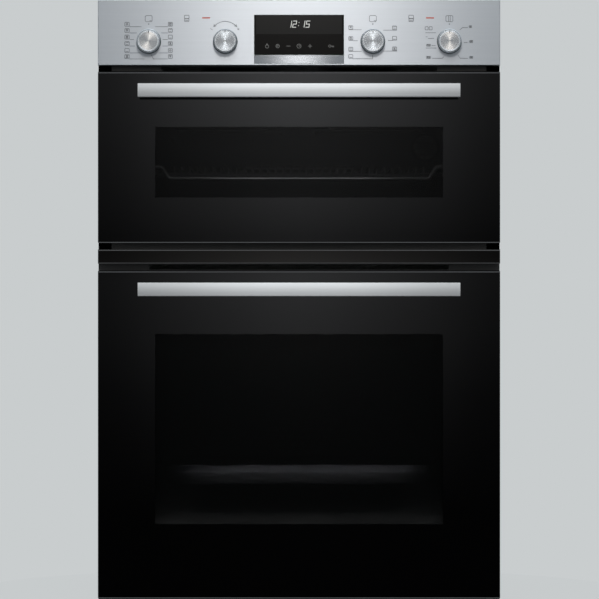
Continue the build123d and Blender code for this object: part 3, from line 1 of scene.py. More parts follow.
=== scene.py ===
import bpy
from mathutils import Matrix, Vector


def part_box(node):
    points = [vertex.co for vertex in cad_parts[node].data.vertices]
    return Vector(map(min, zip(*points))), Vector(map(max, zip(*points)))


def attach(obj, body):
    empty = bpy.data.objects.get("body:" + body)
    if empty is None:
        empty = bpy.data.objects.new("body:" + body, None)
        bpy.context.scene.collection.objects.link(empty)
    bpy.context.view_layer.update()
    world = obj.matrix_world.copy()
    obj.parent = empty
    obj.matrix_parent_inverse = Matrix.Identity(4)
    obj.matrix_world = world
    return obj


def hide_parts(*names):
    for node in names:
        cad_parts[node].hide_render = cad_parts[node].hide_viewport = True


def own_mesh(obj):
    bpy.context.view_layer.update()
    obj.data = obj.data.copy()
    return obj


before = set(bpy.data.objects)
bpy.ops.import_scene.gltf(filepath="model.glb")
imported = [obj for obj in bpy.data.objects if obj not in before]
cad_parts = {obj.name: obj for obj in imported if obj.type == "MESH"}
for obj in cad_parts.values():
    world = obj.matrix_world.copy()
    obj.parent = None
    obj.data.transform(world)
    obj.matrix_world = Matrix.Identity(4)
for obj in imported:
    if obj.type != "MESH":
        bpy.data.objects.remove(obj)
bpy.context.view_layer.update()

import bpy
import numpy as np
from bpy.props import FloatProperty, FloatVectorProperty, PointerProperty

bl_info = {
    "name": "Double Wall Oven",
    "version": (1, 0, 0),
    "blender": (4, 5, 0),
    "location": "View3D > Sidebar > Oven",
    "description": "Finishes, panel print and studio for a built-in double wall oven",
    "category": "Object",
}

ROOT = "oven"
DOORS = ("upper", "lower")
MM = 0.001
FULL_TURN = 2 * np.pi

# Places read from the model's parts
FACE_Y = float(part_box("control_panel")[0].y)
DISPLAY_LOW, DISPLAY_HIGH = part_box("display_glass")
KNOB_BOXES = [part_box(f"knob_{i}") for i in range(1, 5)]
KNOB_Z = float(KNOB_BOXES[0][0].z + KNOB_BOXES[0][1].z) / 2
KNOB_XS = [float(low.x + high.x) / 2 for low, high in KNOB_BOXES]

# Print: its height and the slant of the clock's figures
PRINT_Z = KNOB_Z + 0.0013
CLOCK_SLANT = 0.16

# Dials: the turn of the first one's painted highlight fans, their colour, the outer two painted lighter as a
# lit copy of it, the index mark
DIAL_HIGHLIGHT_LEAN = 0.38
DIAL_COLOUR = (0.655, 0.715, 0.775)
OUTER_DIALS, OUTER_LIT_GAIN = (1, 4), 1.28
MARK_INNER, MARK_OUTER, MARK_W = 0.0113, 0.0145, 0.0011
MARK_FRONT, MARK_BACK = 0.00045, 0.0008

# Radii between which a dial's face ends and its thin dark ring of painted shade begins and ends
FACE_END, GROOVE_SHADE_START, GROOVE_SHADE_END = (0.0130, 0.0137), (0.0154, 0.0158), (0.0164, 0.0168)

# The strip's upper edge, rougher and painted with a bright highlight line: where it begins and where it is
# full, below the top
LIP_START, LIP_FULL = 0.0016, 0.0012
LIP_HIGHLIGHT_COLOUR = (0.95, 0.96, 0.97)

# Door windows: how much of the light they let through, and the soft edge of the print round them
WINDOW_CLEAR = {"upper": 0.84, "lower": 0.92}
WINDOW_EASE = 0.0007

# Edges of the black glass left rough by grinding, with a pale line that is partly their own frosting and
# partly painted highlight
EDGE_LINE, EDGE_EASE = 0.0013, 0.0003
EDGE_HIGHLIGHT_COLOUR = (0.085, 0.085, 0.088)

# Hinge springs: turns, the most that a rod is drawn, the wire's section
SPRING_TURNS, SPRING_TRAVEL = 10, 0.0095
WIRE_W, WIRE_H = 0.0024, 0.0020

# Wool: points round a wrap and across it, stitches, thickness, fill, and room to the cavity and its flange
WOOL_STEPS, BLANKET_ACROSS, PAD_ACROSS = 240, 48, 32
WOOL_TUFTS, WOOL_T, WOOL_FILL = 12, 0.0245, 0.8
FLANGE_W = 0.022
WRAP_R, WRAP_DROP = 0.02, 0.004
SIDE_ROOM, CROWN_ROOM, FRONT_ROOM, END_ROOM = 0.002, 0.010, 0.004, 0.001
PAD_SIDE_ROOM = 0.012

# Each rear pad: its hole, how far its middle lies below the cavity's, and its room above and below
PADS = {"upper": (0.02, 0.027, 0.042), "lower": (0.056, 0.0, 0.075)}

# Door seals: points along and round the tube, its half width, its place, its section and its plait
SEAL_STEPS, SEAL_AROUND = 480, 20
SEAL_HALF, SEAL_INSET, SEAL_CORNER = 0.004, 0.011, 0.025
SEAL_SHARE, SEAL_POWER = 0.98, 0.7
PLAIT_PITCH, PLAIT_STRANDS = 0.004, 6

# Studio: the floor disc, the lamps before the front and inside, the reflection card and the camera
FLOOR_STEPS, FLOOR_R, FLOOR_Z = 96, 0.5, -0.0005
FLOOR_GLOW = 0.93
LAMP_Y = FACE_Y - 2.75
WARM_LAMP = (1.0, 0.925, 0.865)
RACK_LAMP_IN, RACK_LAMP_UP = 0.003, 0.004
PAN_LAMP_IN, PAN_LAMP_DOWN = 0.002, 0.021
WALL_LAMP_OUT, WALL_LAMP_DOWN = 0.049, 0.0245
CARD_BACK, CARD_HALF, CARD_LOW, CARD_HIGH = 0.4, 0.75, -0.70, 1.60
WARM_CARD = (1.0, 0.953, 0.915)
SENSOR_W, CAMERA_X = 36.0, 0.0007


# Settings


def in_metres(name, description, default):
    """A setting in metres."""
    return FloatProperty(name=name, description=description, default=default, unit="LENGTH")


def as_colour(name, description, default):
    """A setting that is a colour."""
    return FloatVectorProperty(name=name, description=description, default=default, size=3, subtype="COLOR")


class OvenSizes(bpy.types.PropertyGroup):
    """Sizes of the print, the windows, the wool and the camera's view."""

    print_line: in_metres("Print line", "Width of the panel's printed lines", 0.0007)
    print_lift: in_metres("Print lift", "How far print stands off its surface", 0.00006)
    window_half: in_metres("Window half width", "Half the width of both door windows", 0.2125)
    upper_window_low: in_metres("Upper window bottom", "Height of the window's lower edge", 0.5965)
    upper_window_high: in_metres("Upper window top", "Height of the window's upper edge", 0.7010)
    lower_window_low: in_metres("Lower window bottom", "Height of the window's lower edge", 0.1140)
    lower_window_high: in_metres("Lower window top", "Height of the window's upper edge", 0.3950)
    wool_quilt: in_metres("Wool quilting", "Depth of the quilting in the wool wraps", 0.0022)
    camera_distance: in_metres("Camera distance", "From the panel's face to the camera", 6.0)
    camera_view: in_metres("Camera view", "Width of the view at the panel's face", 0.8845)
    camera_height: in_metres("Camera height", "Height of the lens", 0.4460)


class OvenColours(bpy.types.PropertyGroup):
    """Colours of the main finishes."""

    steel: as_colour("Brushed steel", "Panel and strip", (0.520, 0.565, 0.618))
    glass_print: as_colour("Glass print", "Black behind the door glass", (0.0010, 0.0010, 0.0011))
    enamel: as_colour("Enamel", "Cavities and pan", (0.006, 0.006, 0.0068))
    casing: as_colour("Casing", "Zinc coated sheet", (0.52, 0.54, 0.55))
    ink: as_colour("Panel ink", "Printed signs on the panel", (0.10, 0.105, 0.11))
    warm_mark: as_colour("Heat mark", "Small red bars on the panel", (0.70, 0.12, 0.06))
    lit: as_colour("Lit signs", "Clock digits", (0.75, 0.76, 0.74))
    backdrop: as_colour("Backdrop", "Studio background", (0.584, 0.610, 0.617))


# Shader expressions


class Wire:
    """A shader socket that can stand in a Python expression."""

    def __init__(self, graph, socket):
        self.graph, self.socket = graph, socket

    def math(self, operation, a, b=0.0):
        return self.graph.node("Math", {"operation": operation}, {0: a, 1: b})

    def __add__(self, other):
        return self.math("ADD", self, other)

    def __sub__(self, other):
        return self.math("SUBTRACT", self, other)

    def __rsub__(self, other):
        return self.math("SUBTRACT", other, self)

    def __mul__(self, other):
        return self.math("MULTIPLY", self, other)

    def __truediv__(self, other):
        return self.math("DIVIDE", self, other)

    def __pow__(self, other):
        return self.math("POWER", self, other)

    def __abs__(self):
        return self.math("ABSOLUTE", self)

    __radd__ = __add__
    __rmul__ = __mul__

    def sine(self):
        return self.math("SINE", self)

    def cosine(self):
        return self.math("COSINE", self)


class Graph:
    """A node tree that grows by one method."""

    def __init__(self, tree):
        self.tree = tree

    def feed(self, socket, value):
        """Links a wire, or sets a value on the socket itself; a colour of three numbers gets its alpha."""
        if isinstance(value, Wire):
            self.tree.links.new(value.socket, socket)
        elif hasattr(socket.default_value, "__len__") and len(socket.default_value) == 4 and len(value) == 3:
            socket.default_value = (*value, 1.0)
        else:
            socket.default_value = value

    def node(self, kind, settings=(), inputs=(), output=0):
        """Any node: its settings first, then values or wires for its sockets. A ramp's stops are greys."""
        made = self.tree.nodes.new("ShaderNode" + kind)
        for key, value in dict(settings).items():
            if key == "stops":
                ramp = made.color_ramp.elements
                for spot, (place, grey) in enumerate(value):
                    stop = ramp[spot] if spot < 2 else ramp.new(place)
                    stop.position = place
                    stop.color = (grey, grey, grey, 1.0)
            else:
                setattr(made, key, value)
        for key, value in dict(inputs).items():
            self.feed(made.inputs[key], value)
        return Wire(self, made.outputs[output])

    def several(self, kind, names, inputs=()):
        """Several outputs of one node."""
        outputs = self.node(kind, inputs=inputs).socket.node.outputs
        return [Wire(self, outputs[name]) for name in names]


class Paint(Graph):
    """A material made of one Principled shader and the nodes that feed it."""

    def __init__(self, name):
        self.material = bpy.data.materials.new(name)
        self.material.use_nodes = True
        super().__init__(self.material.node_tree)
        self.tree.nodes.clear()
        self.shader = self.tree.nodes.new("ShaderNodeBsdfPrincipled")
        self.out = self.tree.nodes.new("ShaderNodeOutputMaterial")
        self.body = Wire(self, self.shader.outputs[0])
        self.show(self.body)
        self._place = None

    def show(self, wire):
        """Sets what the surface shows: the Principled shader, or another in its place."""
        self.feed(self.out.inputs["Surface"], wire)

    def set(self, **values):
        """Values or wires for the Principled shader, with _ for a space in a socket's name."""
        for key, value in values.items():
            self.feed(self.shader.inputs[key.replace("_", " ")], value)

    @property
    def place(self):
        if self._place is None:
            self._place = self.node("TexCoord", output="Object")
        return self._place

    def axes(self):
        """The three object coordinates as values."""
        return self.several("SeparateXYZ", "XYZ", {0: self.place})

    def noise(self, scale, stretch=(1, 1, 1), detail=3.0, roughness=0.5):
        drawn_out = self.node("Mapping", inputs={"Vector": self.place, "Scale": stretch})
        return self.node(
            "TexNoise",
            inputs={"Vector": drawn_out, "Scale": scale, "Detail": detail, "Roughness": roughness},
        )

    def rise(self, value, low, high):
        """0 below low, 1 above high, smooth between."""
        return self.node(
            "MapRange",
            {"interpolation_type": "SMOOTHSTEP"},
            {"Value": value, "From Min": low, "From Max": high, "To Min": 0.0, "To Max": 1.0},
        )

    def mix(self, amount, a, b):
        return self.node("Mix", {"data_type": "RGBA"}, {0: amount, 6: a, 7: b}, 2)

    def bump(self, height, strength, depth):
        return self.node("Bump", inputs={"Height": height, "Strength": strength, "Distance": depth})


def tint(colour, factor):
    return tuple(min(1.0, float(c) * factor) for c in colour)


# Finishes


def mottled(name, colour, rough, metal, grain, spread=0.15, relief=0.0):
    """Colour and gloss that drift with one noise, and a second finer noise as relief."""
    paint = Paint(name)
    drift = paint.noise(grain)
    fine = paint.noise(grain * 7, detail=2.0)
    paint.set(
        Base_Color=paint.mix(drift, tint(colour, 1 - spread), tint(colour, 1 + spread)),
        Roughness=rough + (drift - 0.5) * 0.1 + (fine - 0.5) * 0.05,
        Metallic=metal,
    )
    if relief:
        paint.set(Normal=paint.bump(fine, 0.4, relief))
    return paint.material


def brushed(name, colour, rough, stretch, spread=0.07, painted_end_shade=0.0, reach=0.3, comb=0.0, lip=None):
    """Steel with fine parallel scratches: noise drawn out along the brushing, and painted shade darkening it
    towards the ends, where its reflections fall off.

    comb draws reflections out across the scratches, as a deep brushing does. lip is the height of an upper
    edge that is rougher and painted with a bright highlight line that stays bright to its ends.
    """
    paint = Paint(name)
    px, _, pz = paint.axes()
    lines = paint.noise(1.0, stretch, 4.0, 0.65)
    broad = paint.noise(0.25, stretch, 2.0)
    grain = paint.mix(lines * 0.7 + broad * 0.3, tint(colour, 1 - spread), tint(colour, 1 + spread))
    # Painted shade: darker towards the ends, for the falloff of the reflections
    dark = paint.rise(abs(px), 0.15 * reach, reach) * painted_end_shade
    gloss = rough + (lines - 0.5) * 0.06
    if lip is not None:
        # Painted highlight: a bright line along the upper edge, which is also rougher
        matt_highlight = paint.rise(pz, lip - LIP_START, lip - LIP_FULL)
        dark, gloss = dark * (1 - matt_highlight), gloss + matt_highlight * 0.45
        grain = paint.mix(matt_highlight, grain, LIP_HIGHLIGHT_COLOUR)
    paint.set(
        Base_Color=paint.mix(dark, grain, (0.0, 0.0, 0.0)),
        Roughness=gloss,
        Metallic=1.0,
        Anisotropic=comb,
        Anisotropic_Rotation=0.25,
    )
    return paint.material


def galvanised(name, colour):
    """Zinc spangle: cells of slightly different brightness and gloss."""
    paint = Paint(name)
    cell = paint.node("TexVoronoi", inputs={"Vector": paint.place, "Scale": 70.0}, output="Color")
    grey = paint.node("RGBToBW", inputs={0: cell})
    drift = paint.noise(9.0)
    mixed = grey * 0.6 + drift * 0.4
    paint.set(
        Base_Color=paint.mix(mixed, tint(colour, 0.86), tint(colour, 1.12)),
        Roughness=0.36 + mixed * 0.16,
        Metallic=0.9,
    )
    return paint.material


def speckled_enamel(name, colour):
    """Glossy vitreous enamel with fine pale specks and a little orange peel."""
    paint = Paint(name)
    specks = paint.rise(paint.noise(900.0, detail=1.0), 0.66, 0.72)
    peel = paint.noise(160.0)
    paint.set(
        Base_Color=paint.mix(specks, tuple(colour), tint(colour, 7.0)),
        Roughness=0.3 + peel * 0.12,
        Specular_IOR_Level=0.2,
        Normal=paint.bump(peel, 0.15, 0.0004),
    )
    return paint.material


def spun_with_painted_sheen(name, colour, x, z, highlight_lean):
    """Lathe-finished metal: fine rings about a dial's axis, a painted highlight of two bright fans, and a
    thin dark ring of painted shade for a recess.
    """
    paint = Paint(name)
    px, _, pz = paint.axes()
    dx, dz = px - x, pz - z
    radius = (dx * dx + dz * dz) ** 0.5
    rings = (radius * 9000.0).sine()
    angle = dx.math("ARCTAN2", dx, dz) - highlight_lean
    # Painted highlight: two bright fans about the axis, set at an angle for the first dial, stand in for the
    # sheen of lathe-finished metal
    fan = (angle * 2.0).cosine() * 0.5 + 0.5
    rays = (angle * 23.0).sine() * 0.5 + 0.5
    streak = paint.noise(1.0, (900.0, 900.0, 900.0), 2.0)
    face = 1 - paint.rise(radius, *FACE_END)
    # Painted shade: a thin dark ring stands in for a recess in shade
    groove_shade = paint.rise(radius, *GROOVE_SHADE_START) * (1 - paint.rise(radius, *GROOVE_SHADE_END))
    # The face and the ring round it are coloured lighter and darker with the painted highlight fans
    shade = fan ** 4 * 0.55 + fan * 0.35 + rays * 0.07 + streak * 0.05
    fan_highlight_tone = paint.mix(shade, tint(colour, 0.36), tint(colour, 1.27))
    fan_highlight_colour = paint.mix(face, paint.mix(fan, tint(colour, 0.58), tint(colour, 0.95)), fan_highlight_tone)
    paint.set(
        Base_Color=paint.mix(groove_shade, fan_highlight_colour, tint(colour, 0.36)),
        Roughness=0.24 + rings * 0.04,
        Metallic=1.0,
        Normal=paint.bump(rings, 0.08, 0.00002),
    )
    return paint.material


def ground_edge_highlights(paint, bottom, top, rise, drop):
    """Mask of the bevels left rough by grinding, whose pale line is partly painted highlight: rise above the
    lower edge and drop below the upper edge of a glass.
    """
    _, _, pz = paint.axes()
    low, high = bottom + rise, top - drop
    low_end, high_end = low + EDGE_LINE, high - EDGE_LINE
    below = paint.rise(pz, low - EDGE_EASE, low) * (1 - paint.rise(pz, low_end - EDGE_EASE, low_end))
    above = paint.rise(pz, high_end, high_end + EDGE_EASE) * (1 - paint.rise(pz, high, high + EDGE_EASE))
    return above + below


def edged_gloss(name, colour, bottom, top):
    """Gloss black with rougher bevels along its long edges, their pale line partly painted highlight."""
    paint = Paint(name)
    haze = paint.noise(9.0)
    ground_highlight = ground_edge_highlights(paint, bottom, top, rise=0.0001, drop=0.0008)
    paint.set(
        Base_Color=paint.mix(ground_highlight, paint.mix(haze, tint(colour, 0.8), tint(colour, 1.2)), EDGE_HIGHLIGHT_COLOUR),
        Roughness=0.03 + haze * 0.04 + ground_highlight * 0.4,
    )
    return paint.material


def framed_black(name, colour, edge, low):
    """Satin black paint, with its ends past the casing's sides, above a given height, darkened and made
    metallic as painted shade in the door gaps.
    """
    paint = Paint(name)
    px, _, pz = paint.axes()
    grain = paint.noise(200.0)
    fine = paint.noise(1400.0, detail=2.0)
    # Painted shade: the frame's ends, seen in the gaps between the doors, are darkened
    cap = paint.rise(abs(px), edge - 0.0004, edge + 0.0004) * paint.rise(pz, low, low + 0.001)
    satin = paint.mix(grain, tint(colour, 0.85), tint(colour, 1.15))
    paint.set(
        Base_Color=paint.mix(cap, satin, tint(colour, 0.08)),
        Roughness=0.42 + (grain - 0.5) * 0.1 + cap * 0.3,
        Metallic=cap,
        Normal=paint.bump(fine, 0.4, 0.0001),
    )
    return paint.material


def printed_glass(name, colour, half, low, high, bottom, top, clear):
    """Door glass: opaque black print round a smoked clear window, and rougher bevelled edges above and below
    whose pale line is partly painted highlight.
    """
    paint = Paint(name)
    px, _, pz = paint.axes()
    ease = WINDOW_EASE
    across = 1 - paint.rise(abs(px), half - ease, half + ease)
    up = paint.rise(pz, low - ease, low + ease) * (1 - paint.rise(pz, high - ease, high + ease))
    window = across * up
    haze = paint.noise(5.0)
    ground_highlight = ground_edge_highlights(paint, bottom, top, rise=0.0008, drop=0.0018)
    print_colour = paint.mix(ground_highlight, tuple(colour), EDGE_HIGHLIGHT_COLOUR)
    paint.set(
        Base_Color=paint.mix(window, print_colour, (0.002, 0.002, 0.002)),
        Roughness=0.02 + haze * 0.03 + ground_highlight * 0.4,
        Alpha=1 - window * clear,
        IOR=1.5,
        Specular_Tint=(0.93, 0.985, 1.06, 1.0),
    )
    return paint.material


def smoked_pane(name, colour, alpha):
    """Smoked heat glass: it dims what lies behind it, with the faint streaks of a metal coating."""
    paint = Paint(name)
    streaks = paint.noise(4.0, (1, 1, 6))
    paint.set(
        Base_Color=paint.mix(streaks, tint(colour, 0.8), tuple(colour)),
        Roughness=0.03 + streaks * 0.02,
        Alpha=alpha + streaks * 0.03,
        Specular_IOR_Level=0.07,
    )
    return paint.material


def display_black(name, low, high):
    """Display glass: a slightly paler screen above a darker touch strip, inside a bare black border."""
    paint = Paint(name)
    px, _, pz = paint.axes()
    half, rim = (high.x - low.x) / 2, 0.0030
    middle = low.z + (high.z - low.z) * 0.515
    upper = paint.rise(pz, middle - 0.0004, middle + 0.0004)
    screen = upper * (1 - paint.rise(abs(px), half - rim, half - rim + 0.0006))
    dust = paint.noise(600.0, detail=1.0)
    paint.set(
        Base_Color=paint.mix(screen, (0.0026, 0.0026, 0.0026), (0.017, 0.017, 0.017)),
        Roughness=0.08 + dust * 0.04,
        Specular_IOR_Level=0.1,
    )
    return paint.material


def circuit_green(name):
    """Solder mask with pale tracks on a grid and small plated pads."""
    paint = Paint(name)
    grid = {"Vector": paint.place, "Scale": 90.0, "Mortar Size": 0.03}
    track = paint.node("TexBrick", inputs=grid, output="Fac")
    dots = paint.node("TexVoronoi", inputs={"Vector": paint.place, "Scale": 240.0}, output="Distance")
    pads = 1 - paint.rise(dots, 0.18, 0.24)
    green = paint.mix(track, (0.012, 0.10, 0.045), (0.03, 0.19, 0.09))
    paint.set(Base_Color=paint.mix(pads * 0.8, green, (0.55, 0.5, 0.38)), Roughness=0.35 + track * 0.15)
    return paint.material


def wool(name):
    """Mineral wool: matted fibres in straw and grey."""
    paint = Paint(name)
    fibres = paint.noise(60.0, (1, 6, 1), 6.0, 0.7)
    cross = paint.noise(60.0, (6, 1, 6), 6.0, 0.7)
    matted = fibres * 0.5 + cross * 0.5
    paint.set(
        Base_Color=paint.mix(paint.rise(matted, 0.35, 0.65), (0.36, 0.31, 0.18), (0.66, 0.6, 0.42)),
        Roughness=0.92,
        Normal=paint.bump(matted, 0.8, 0.003),
    )
    return paint.material


def braided(name):
    """Woven glass yarn round a seal: two crossed sets of slanted strands in the piece's own coordinates."""
    paint = Paint(name)
    u, v = paint.several("SeparateXYZ", "XY", {0: paint.node("UVMap", {"uv_map": "along"})})
    one, two = ((u + v) * FULL_TURN).sine(), ((u - v) * FULL_TURN).sine()
    weave = one * two * 0.5 + 0.5
    paint.set(
        Base_Color=paint.mix(weave, (0.03, 0.03, 0.03), (0.13, 0.125, 0.115)),
        Roughness=0.75 + weave * 0.1,
        Normal=paint.bump(weave, 0.5, 0.0006),
    )
    return paint.material


def pressed_glass(name):
    """Lamp cap: clear glass with moulded rings."""
    paint = Paint(name)
    moulded = {"Vector": paint.place, "Scale": 60.0}
    waves = paint.node("TexWave", {"wave_type": "RINGS", "rings_direction": "Y"}, moulded)
    paint.set(
        Base_Color=paint.mix(waves, (0.10, 0.10, 0.095), (0.16, 0.16, 0.15)),
        Roughness=0.06 + waves * 0.05,
        Alpha=0.3 + waves * 0.1,
    )
    return paint.material


def lit_sign(name, colour, strength):
    """A sign that glows through the display glass, a little uneven."""
    paint = Paint(name)
    drift = paint.noise(500.0)
    paint.set(
        Base_Color=(0.02, 0.02, 0.02),
        Emission_Color=paint.mix(drift, tint(colour, 0.9), tuple(colour)),
        Emission_Strength=strength,
        Roughness=0.3 + drift * 0.1,
    )
    return paint.material


# Surfaces


def grid_piece(name, points, material, uv=None):
    """A closed surface from a grid of points that wraps both ways."""
    nu, nv = points.shape[:2]
    index = np.arange(nu * nv).reshape(nu, nv)
    a, b = index, np.roll(index, -1, 0)
    c, d = np.roll(b, -1, 1), np.roll(a, -1, 1)
    faces = np.stack([a, b, c, d], -1).reshape(-1, 4)
    return mesh_piece(name, points.reshape(-1, 3), faces, material, uv)


def mesh_piece(name, points, faces, material, uv=None):
    """A mesh from arrays of points and faces, with the uv of each face corner where given."""
    mesh = bpy.data.meshes.new(name)
    mesh.from_pydata(points.tolist(), [], faces.tolist())
    if uv is not None:
        layer = mesh.uv_layers.new(name="along")
        layer.data.foreach_set("uv", uv.astype(np.float32).ravel())
    mesh.materials.append(material)
    mesh.update()
    piece = bpy.data.objects.new(name, mesh)
    bpy.context.scene.collection.objects.link(piece)
    return piece


def rounded_loop(half_x, half_z, middle_z, radius, count):
    """A rounded rectangle by arc length: straight runs joined by quarter circles, from the right."""
    straight_x, straight_z = 2 * (half_x - radius), 2 * (half_z - radius)
    arc = np.pi * radius / 2
    side = [straight_z / 2, arc, straight_x, arc, straight_z / 2]
    lengths = np.array(side[:-1] + [straight_z] + side[1:])
    ends = np.concatenate([[0.0], np.cumsum(lengths)])
    s = np.arange(count) / count * ends[-1]
    turn = np.interp(s, ends, np.array([0, 0, 1, 1, 2, 2, 3, 3, 4, 4]) * np.pi / 2)
    cx, cz = half_x - radius, half_z - radius
    xs = np.interp(s, ends, [cx, cx, cx, -cx, -cx, -cx, -cx, cx, cx, cx])
    zs = np.interp(s, ends, [0, cz, cz, cz, cz, -cz, -cz, -cz, -cz, 0])
    normal = np.stack([np.cos(turn), np.sin(turn)], -1)
    line = np.stack([xs, zs + middle_z], -1) + radius * normal
    return line, normal, s


def circle_loop(radius, middle_z, count):
    """A circle in the plane of the front, from the right-hand side."""
    turn = np.arange(count) / count * FULL_TURN
    return np.stack([radius * np.cos(turn), middle_z + radius * np.sin(turn)], -1)


def padded_ring(inner, outer, y0, y1, across, quilt=0.0):
    """A quilted pad between two loops: a superellipse section, thinner where rows of stitches pull it in."""
    turn = np.arange(across) / across * FULL_TURN
    power = 0.35
    c = np.sign(np.cos(turn)) * np.abs(np.cos(turn)) ** power
    s = np.sign(np.sin(turn)) * np.abs(np.sin(turn)) ** power
    u = np.arange(len(inner)) / len(inner)
    stitches = 0.5 - 0.5 * np.cos(FULL_TURN * WOOL_TUFTS * u)
    pull = quilt * stitches[:, None] * np.cos(3 * np.pi * s / 2)[None] ** 2
    middle, reach = (inner + outer) / 2, (outer - inner) / 2
    length = np.linalg.norm(reach, axis=1)
    shrink = 1 - pull / length[:, None]
    xz = middle[:, None, :] + reach[:, None, :] * (c[None, :] * shrink)[..., None]
    y = (y0 + y1) / 2 + (y1 - y0) / 2 * np.broadcast_to(s, shrink.shape)
    return np.stack([xz[..., 0], y, xz[..., 1]], -1)


def seal_tube(line, normal, s, y0, y1):
    """A tube along a loop: a power of the cosine across the loop, the sine through its depth.

    The uv of its face corners runs along the loop by length and round the tube by strands of the plait.
    """
    turn = np.arange(SEAL_AROUND) / SEAL_AROUND * FULL_TURN
    lobe = np.abs(np.cos(turn)) ** SEAL_POWER * np.sign(np.cos(turn)) * SEAL_HALF * SEAL_SHARE
    depth = (y0 + y1) / 2 + np.sin(turn) * (y1 - y0) / 2
    xz = line[:, None, :] + normal[:, None, :] * lobe[None, :, None]
    points = np.stack([xz[..., 0], np.broadcast_to(depth, xz.shape[:2]), xz[..., 1]], -1)
    us = np.append(s, s[-1] + s[1]) / PLAIT_PITCH
    vs = np.arange(SEAL_AROUND + 1) / SEAL_AROUND * PLAIT_STRANDS
    u0, v0 = np.meshgrid(np.arange(len(s)), np.arange(SEAL_AROUND), indexing="ij")
    corners = [(u0, v0), (u0 + 1, v0), (u0 + 1, v0 + 1), (u0, v0 + 1)]
    return points, np.stack([np.stack([us[a], vs[b]], -1) for a, b in corners], 2)


def coil(x, y, low, high, reach, steps=24, around=8):
    """A capped wire on a helix, (x + r cos t, y + r sin t, z + p t); its elliptic section sets r and z."""
    t = np.linspace(0.0, FULL_TURN * SPRING_TURNS, SPRING_TURNS * steps + 1)[:, None]
    s = np.arange(around)[None] / around * FULL_TURN
    r = reach - WIRE_W / 2 * (1 - np.cos(s))
    z = low + WIRE_H / 2 * (1 + np.sin(s)) + (high - low - WIRE_H) * t / t[-1]
    rings = np.stack([x + r * np.cos(t), y + r * np.sin(t), z], -1)
    points = np.concatenate([rings.reshape(-1, 3), rings[[0, -1]].mean(1)])
    index = np.arange(rings.shape[0] * around).reshape(-1, around)
    a, b = index[:-1], index[1:]
    c, d = np.roll(b, -1, 1), np.roll(a, -1, 1)
    first, last = index[0], index[-1]
    start, end = np.full(around, len(points) - 2), np.full(around, len(points) - 1)
    caps = [np.stack([start, first, np.roll(first, -1)], -1), np.stack([end, np.roll(last, -1), last], -1)]
    sides = [np.stack([a, b, c], -1).reshape(-1, 3), np.stack([a, c, d], -1).reshape(-1, 3)]
    return points, np.concatenate(sides + caps)


def bars(segments, width, y_front, y_back):
    """Thin prisms along flat line segments: each end reaches half a width past its point."""
    lines = np.asarray(segments, float).reshape(-1, 2, 2)
    run = lines[:, 1] - lines[:, 0]
    length = np.maximum(np.linalg.norm(run, axis=1, keepdims=True), 1e-9)
    along = run / length * width / 2
    side = np.stack([-along[:, 1], along[:, 0]], -1)
    start, end = lines[:, 0] - along, lines[:, 1] + along
    flat = np.stack([start - side, end - side, end + side, start + side], 1)
    front = np.stack([flat[..., 0], np.full(flat.shape[:2], y_front), flat[..., 1]], -1)
    back = front.copy()
    back[..., 1] = y_back
    points = np.concatenate([front, back], 1).reshape(-1, 3)
    one = np.array([[0, 1, 2, 3], [7, 6, 5, 4], [4, 5, 1, 0], [5, 6, 2, 1], [6, 7, 3, 2], [7, 4, 0, 3]])
    faces = (one[None] + 8 * np.arange(len(lines))[:, None, None]).reshape(-1, 4)
    return points, faces


# Signs, laid out in millimetres


def chain(points, close=False):
    """Line segments through points."""
    points = np.asarray(points, float)
    ends = np.roll(points, -1, 0) if close else points[1:]
    starts = points if close else points[:-1]
    return np.stack([starts, ends], 1)


def arc(x, z, radius, start, stop, count=16):
    """Segments round part of a circle; angles in degrees from the right."""
    turn = np.radians(np.linspace(start, stop, count + 1))
    return chain(np.stack([x + radius * np.cos(turn), z + radius * np.sin(turn)], -1))


def frame_sign(x, z, w, h):
    """A rectangle with cut corners, the outline of an oven."""
    a, b, c = w / 2, h / 2, min(w, h) * 0.14
    shape = [(-a + c, -b), (a - c, -b), (a, -b + c), (a, b - c)]
    shape += [(a - c, b), (-a + c, b), (-a, b - c), (-a, -b + c)]
    return chain([(x + p, z + q) for p, q in shape], close=True)


def heat_sign(x, z, w, h, top, bottom, fan):
    """An oven outline with bars for heat from above or below and a cross or ring for the fan."""
    lines = [frame_sign(x, z, w, h)]
    if top:
        lines.append(chain([(x - w / 4, z + h / 4), (x + w / 4, z + h / 4)]))
    if bottom:
        lines.append(chain([(x - w / 4, z - h / 4), (x + w / 4, z - h / 4)]))
    if fan == 1:
        lines += [chain([(x - w / 6, z - s * h / 6), (x + w / 6, z + s * h / 6)]) for s in (1, -1)]
    if fan == 2:
        lines.append(arc(x, z, h / 5, 0, 360, 10))
    return np.concatenate(lines)


# The sticks of each figure, by letter
DIGIT_STICKS = {"0": "abcdef", "1": "bc", "2": "abged", "5": "afgcd"}


def digits(text, x, z, height):
    """Figures of seven sticks, centred on a point; a colon is two dots."""
    w, gap = height * 0.5, height * 0.28
    widths = [gap if ch == ":" else w for ch in text]
    left = x - (sum(widths) + gap * (len(text) - 1)) / 2
    h = height / 2
    lines = []
    for ch, width in zip(text, widths):
        a, b, c = (left, z + h), (left + w, z + h), (left, z)
        d, e, f = (left + w, z), (left, z - h), (left + w, z - h)
        sticks = {"a": (a, b), "b": (b, d), "c": (d, f), "d": (e, f), "e": (c, e), "f": (a, c), "g": (c, d)}
        if ch == ":":
            dot = gap / 2
            lines += [[(left + dot, z + s * h / 2), (left + dot, z + s * h / 2 + 0.1)] for s in (-1, 1)]
        else:
            lines += [sticks[k] for k in DIGIT_STICKS[ch]]
        left += width + gap
    return np.asarray(lines, float)


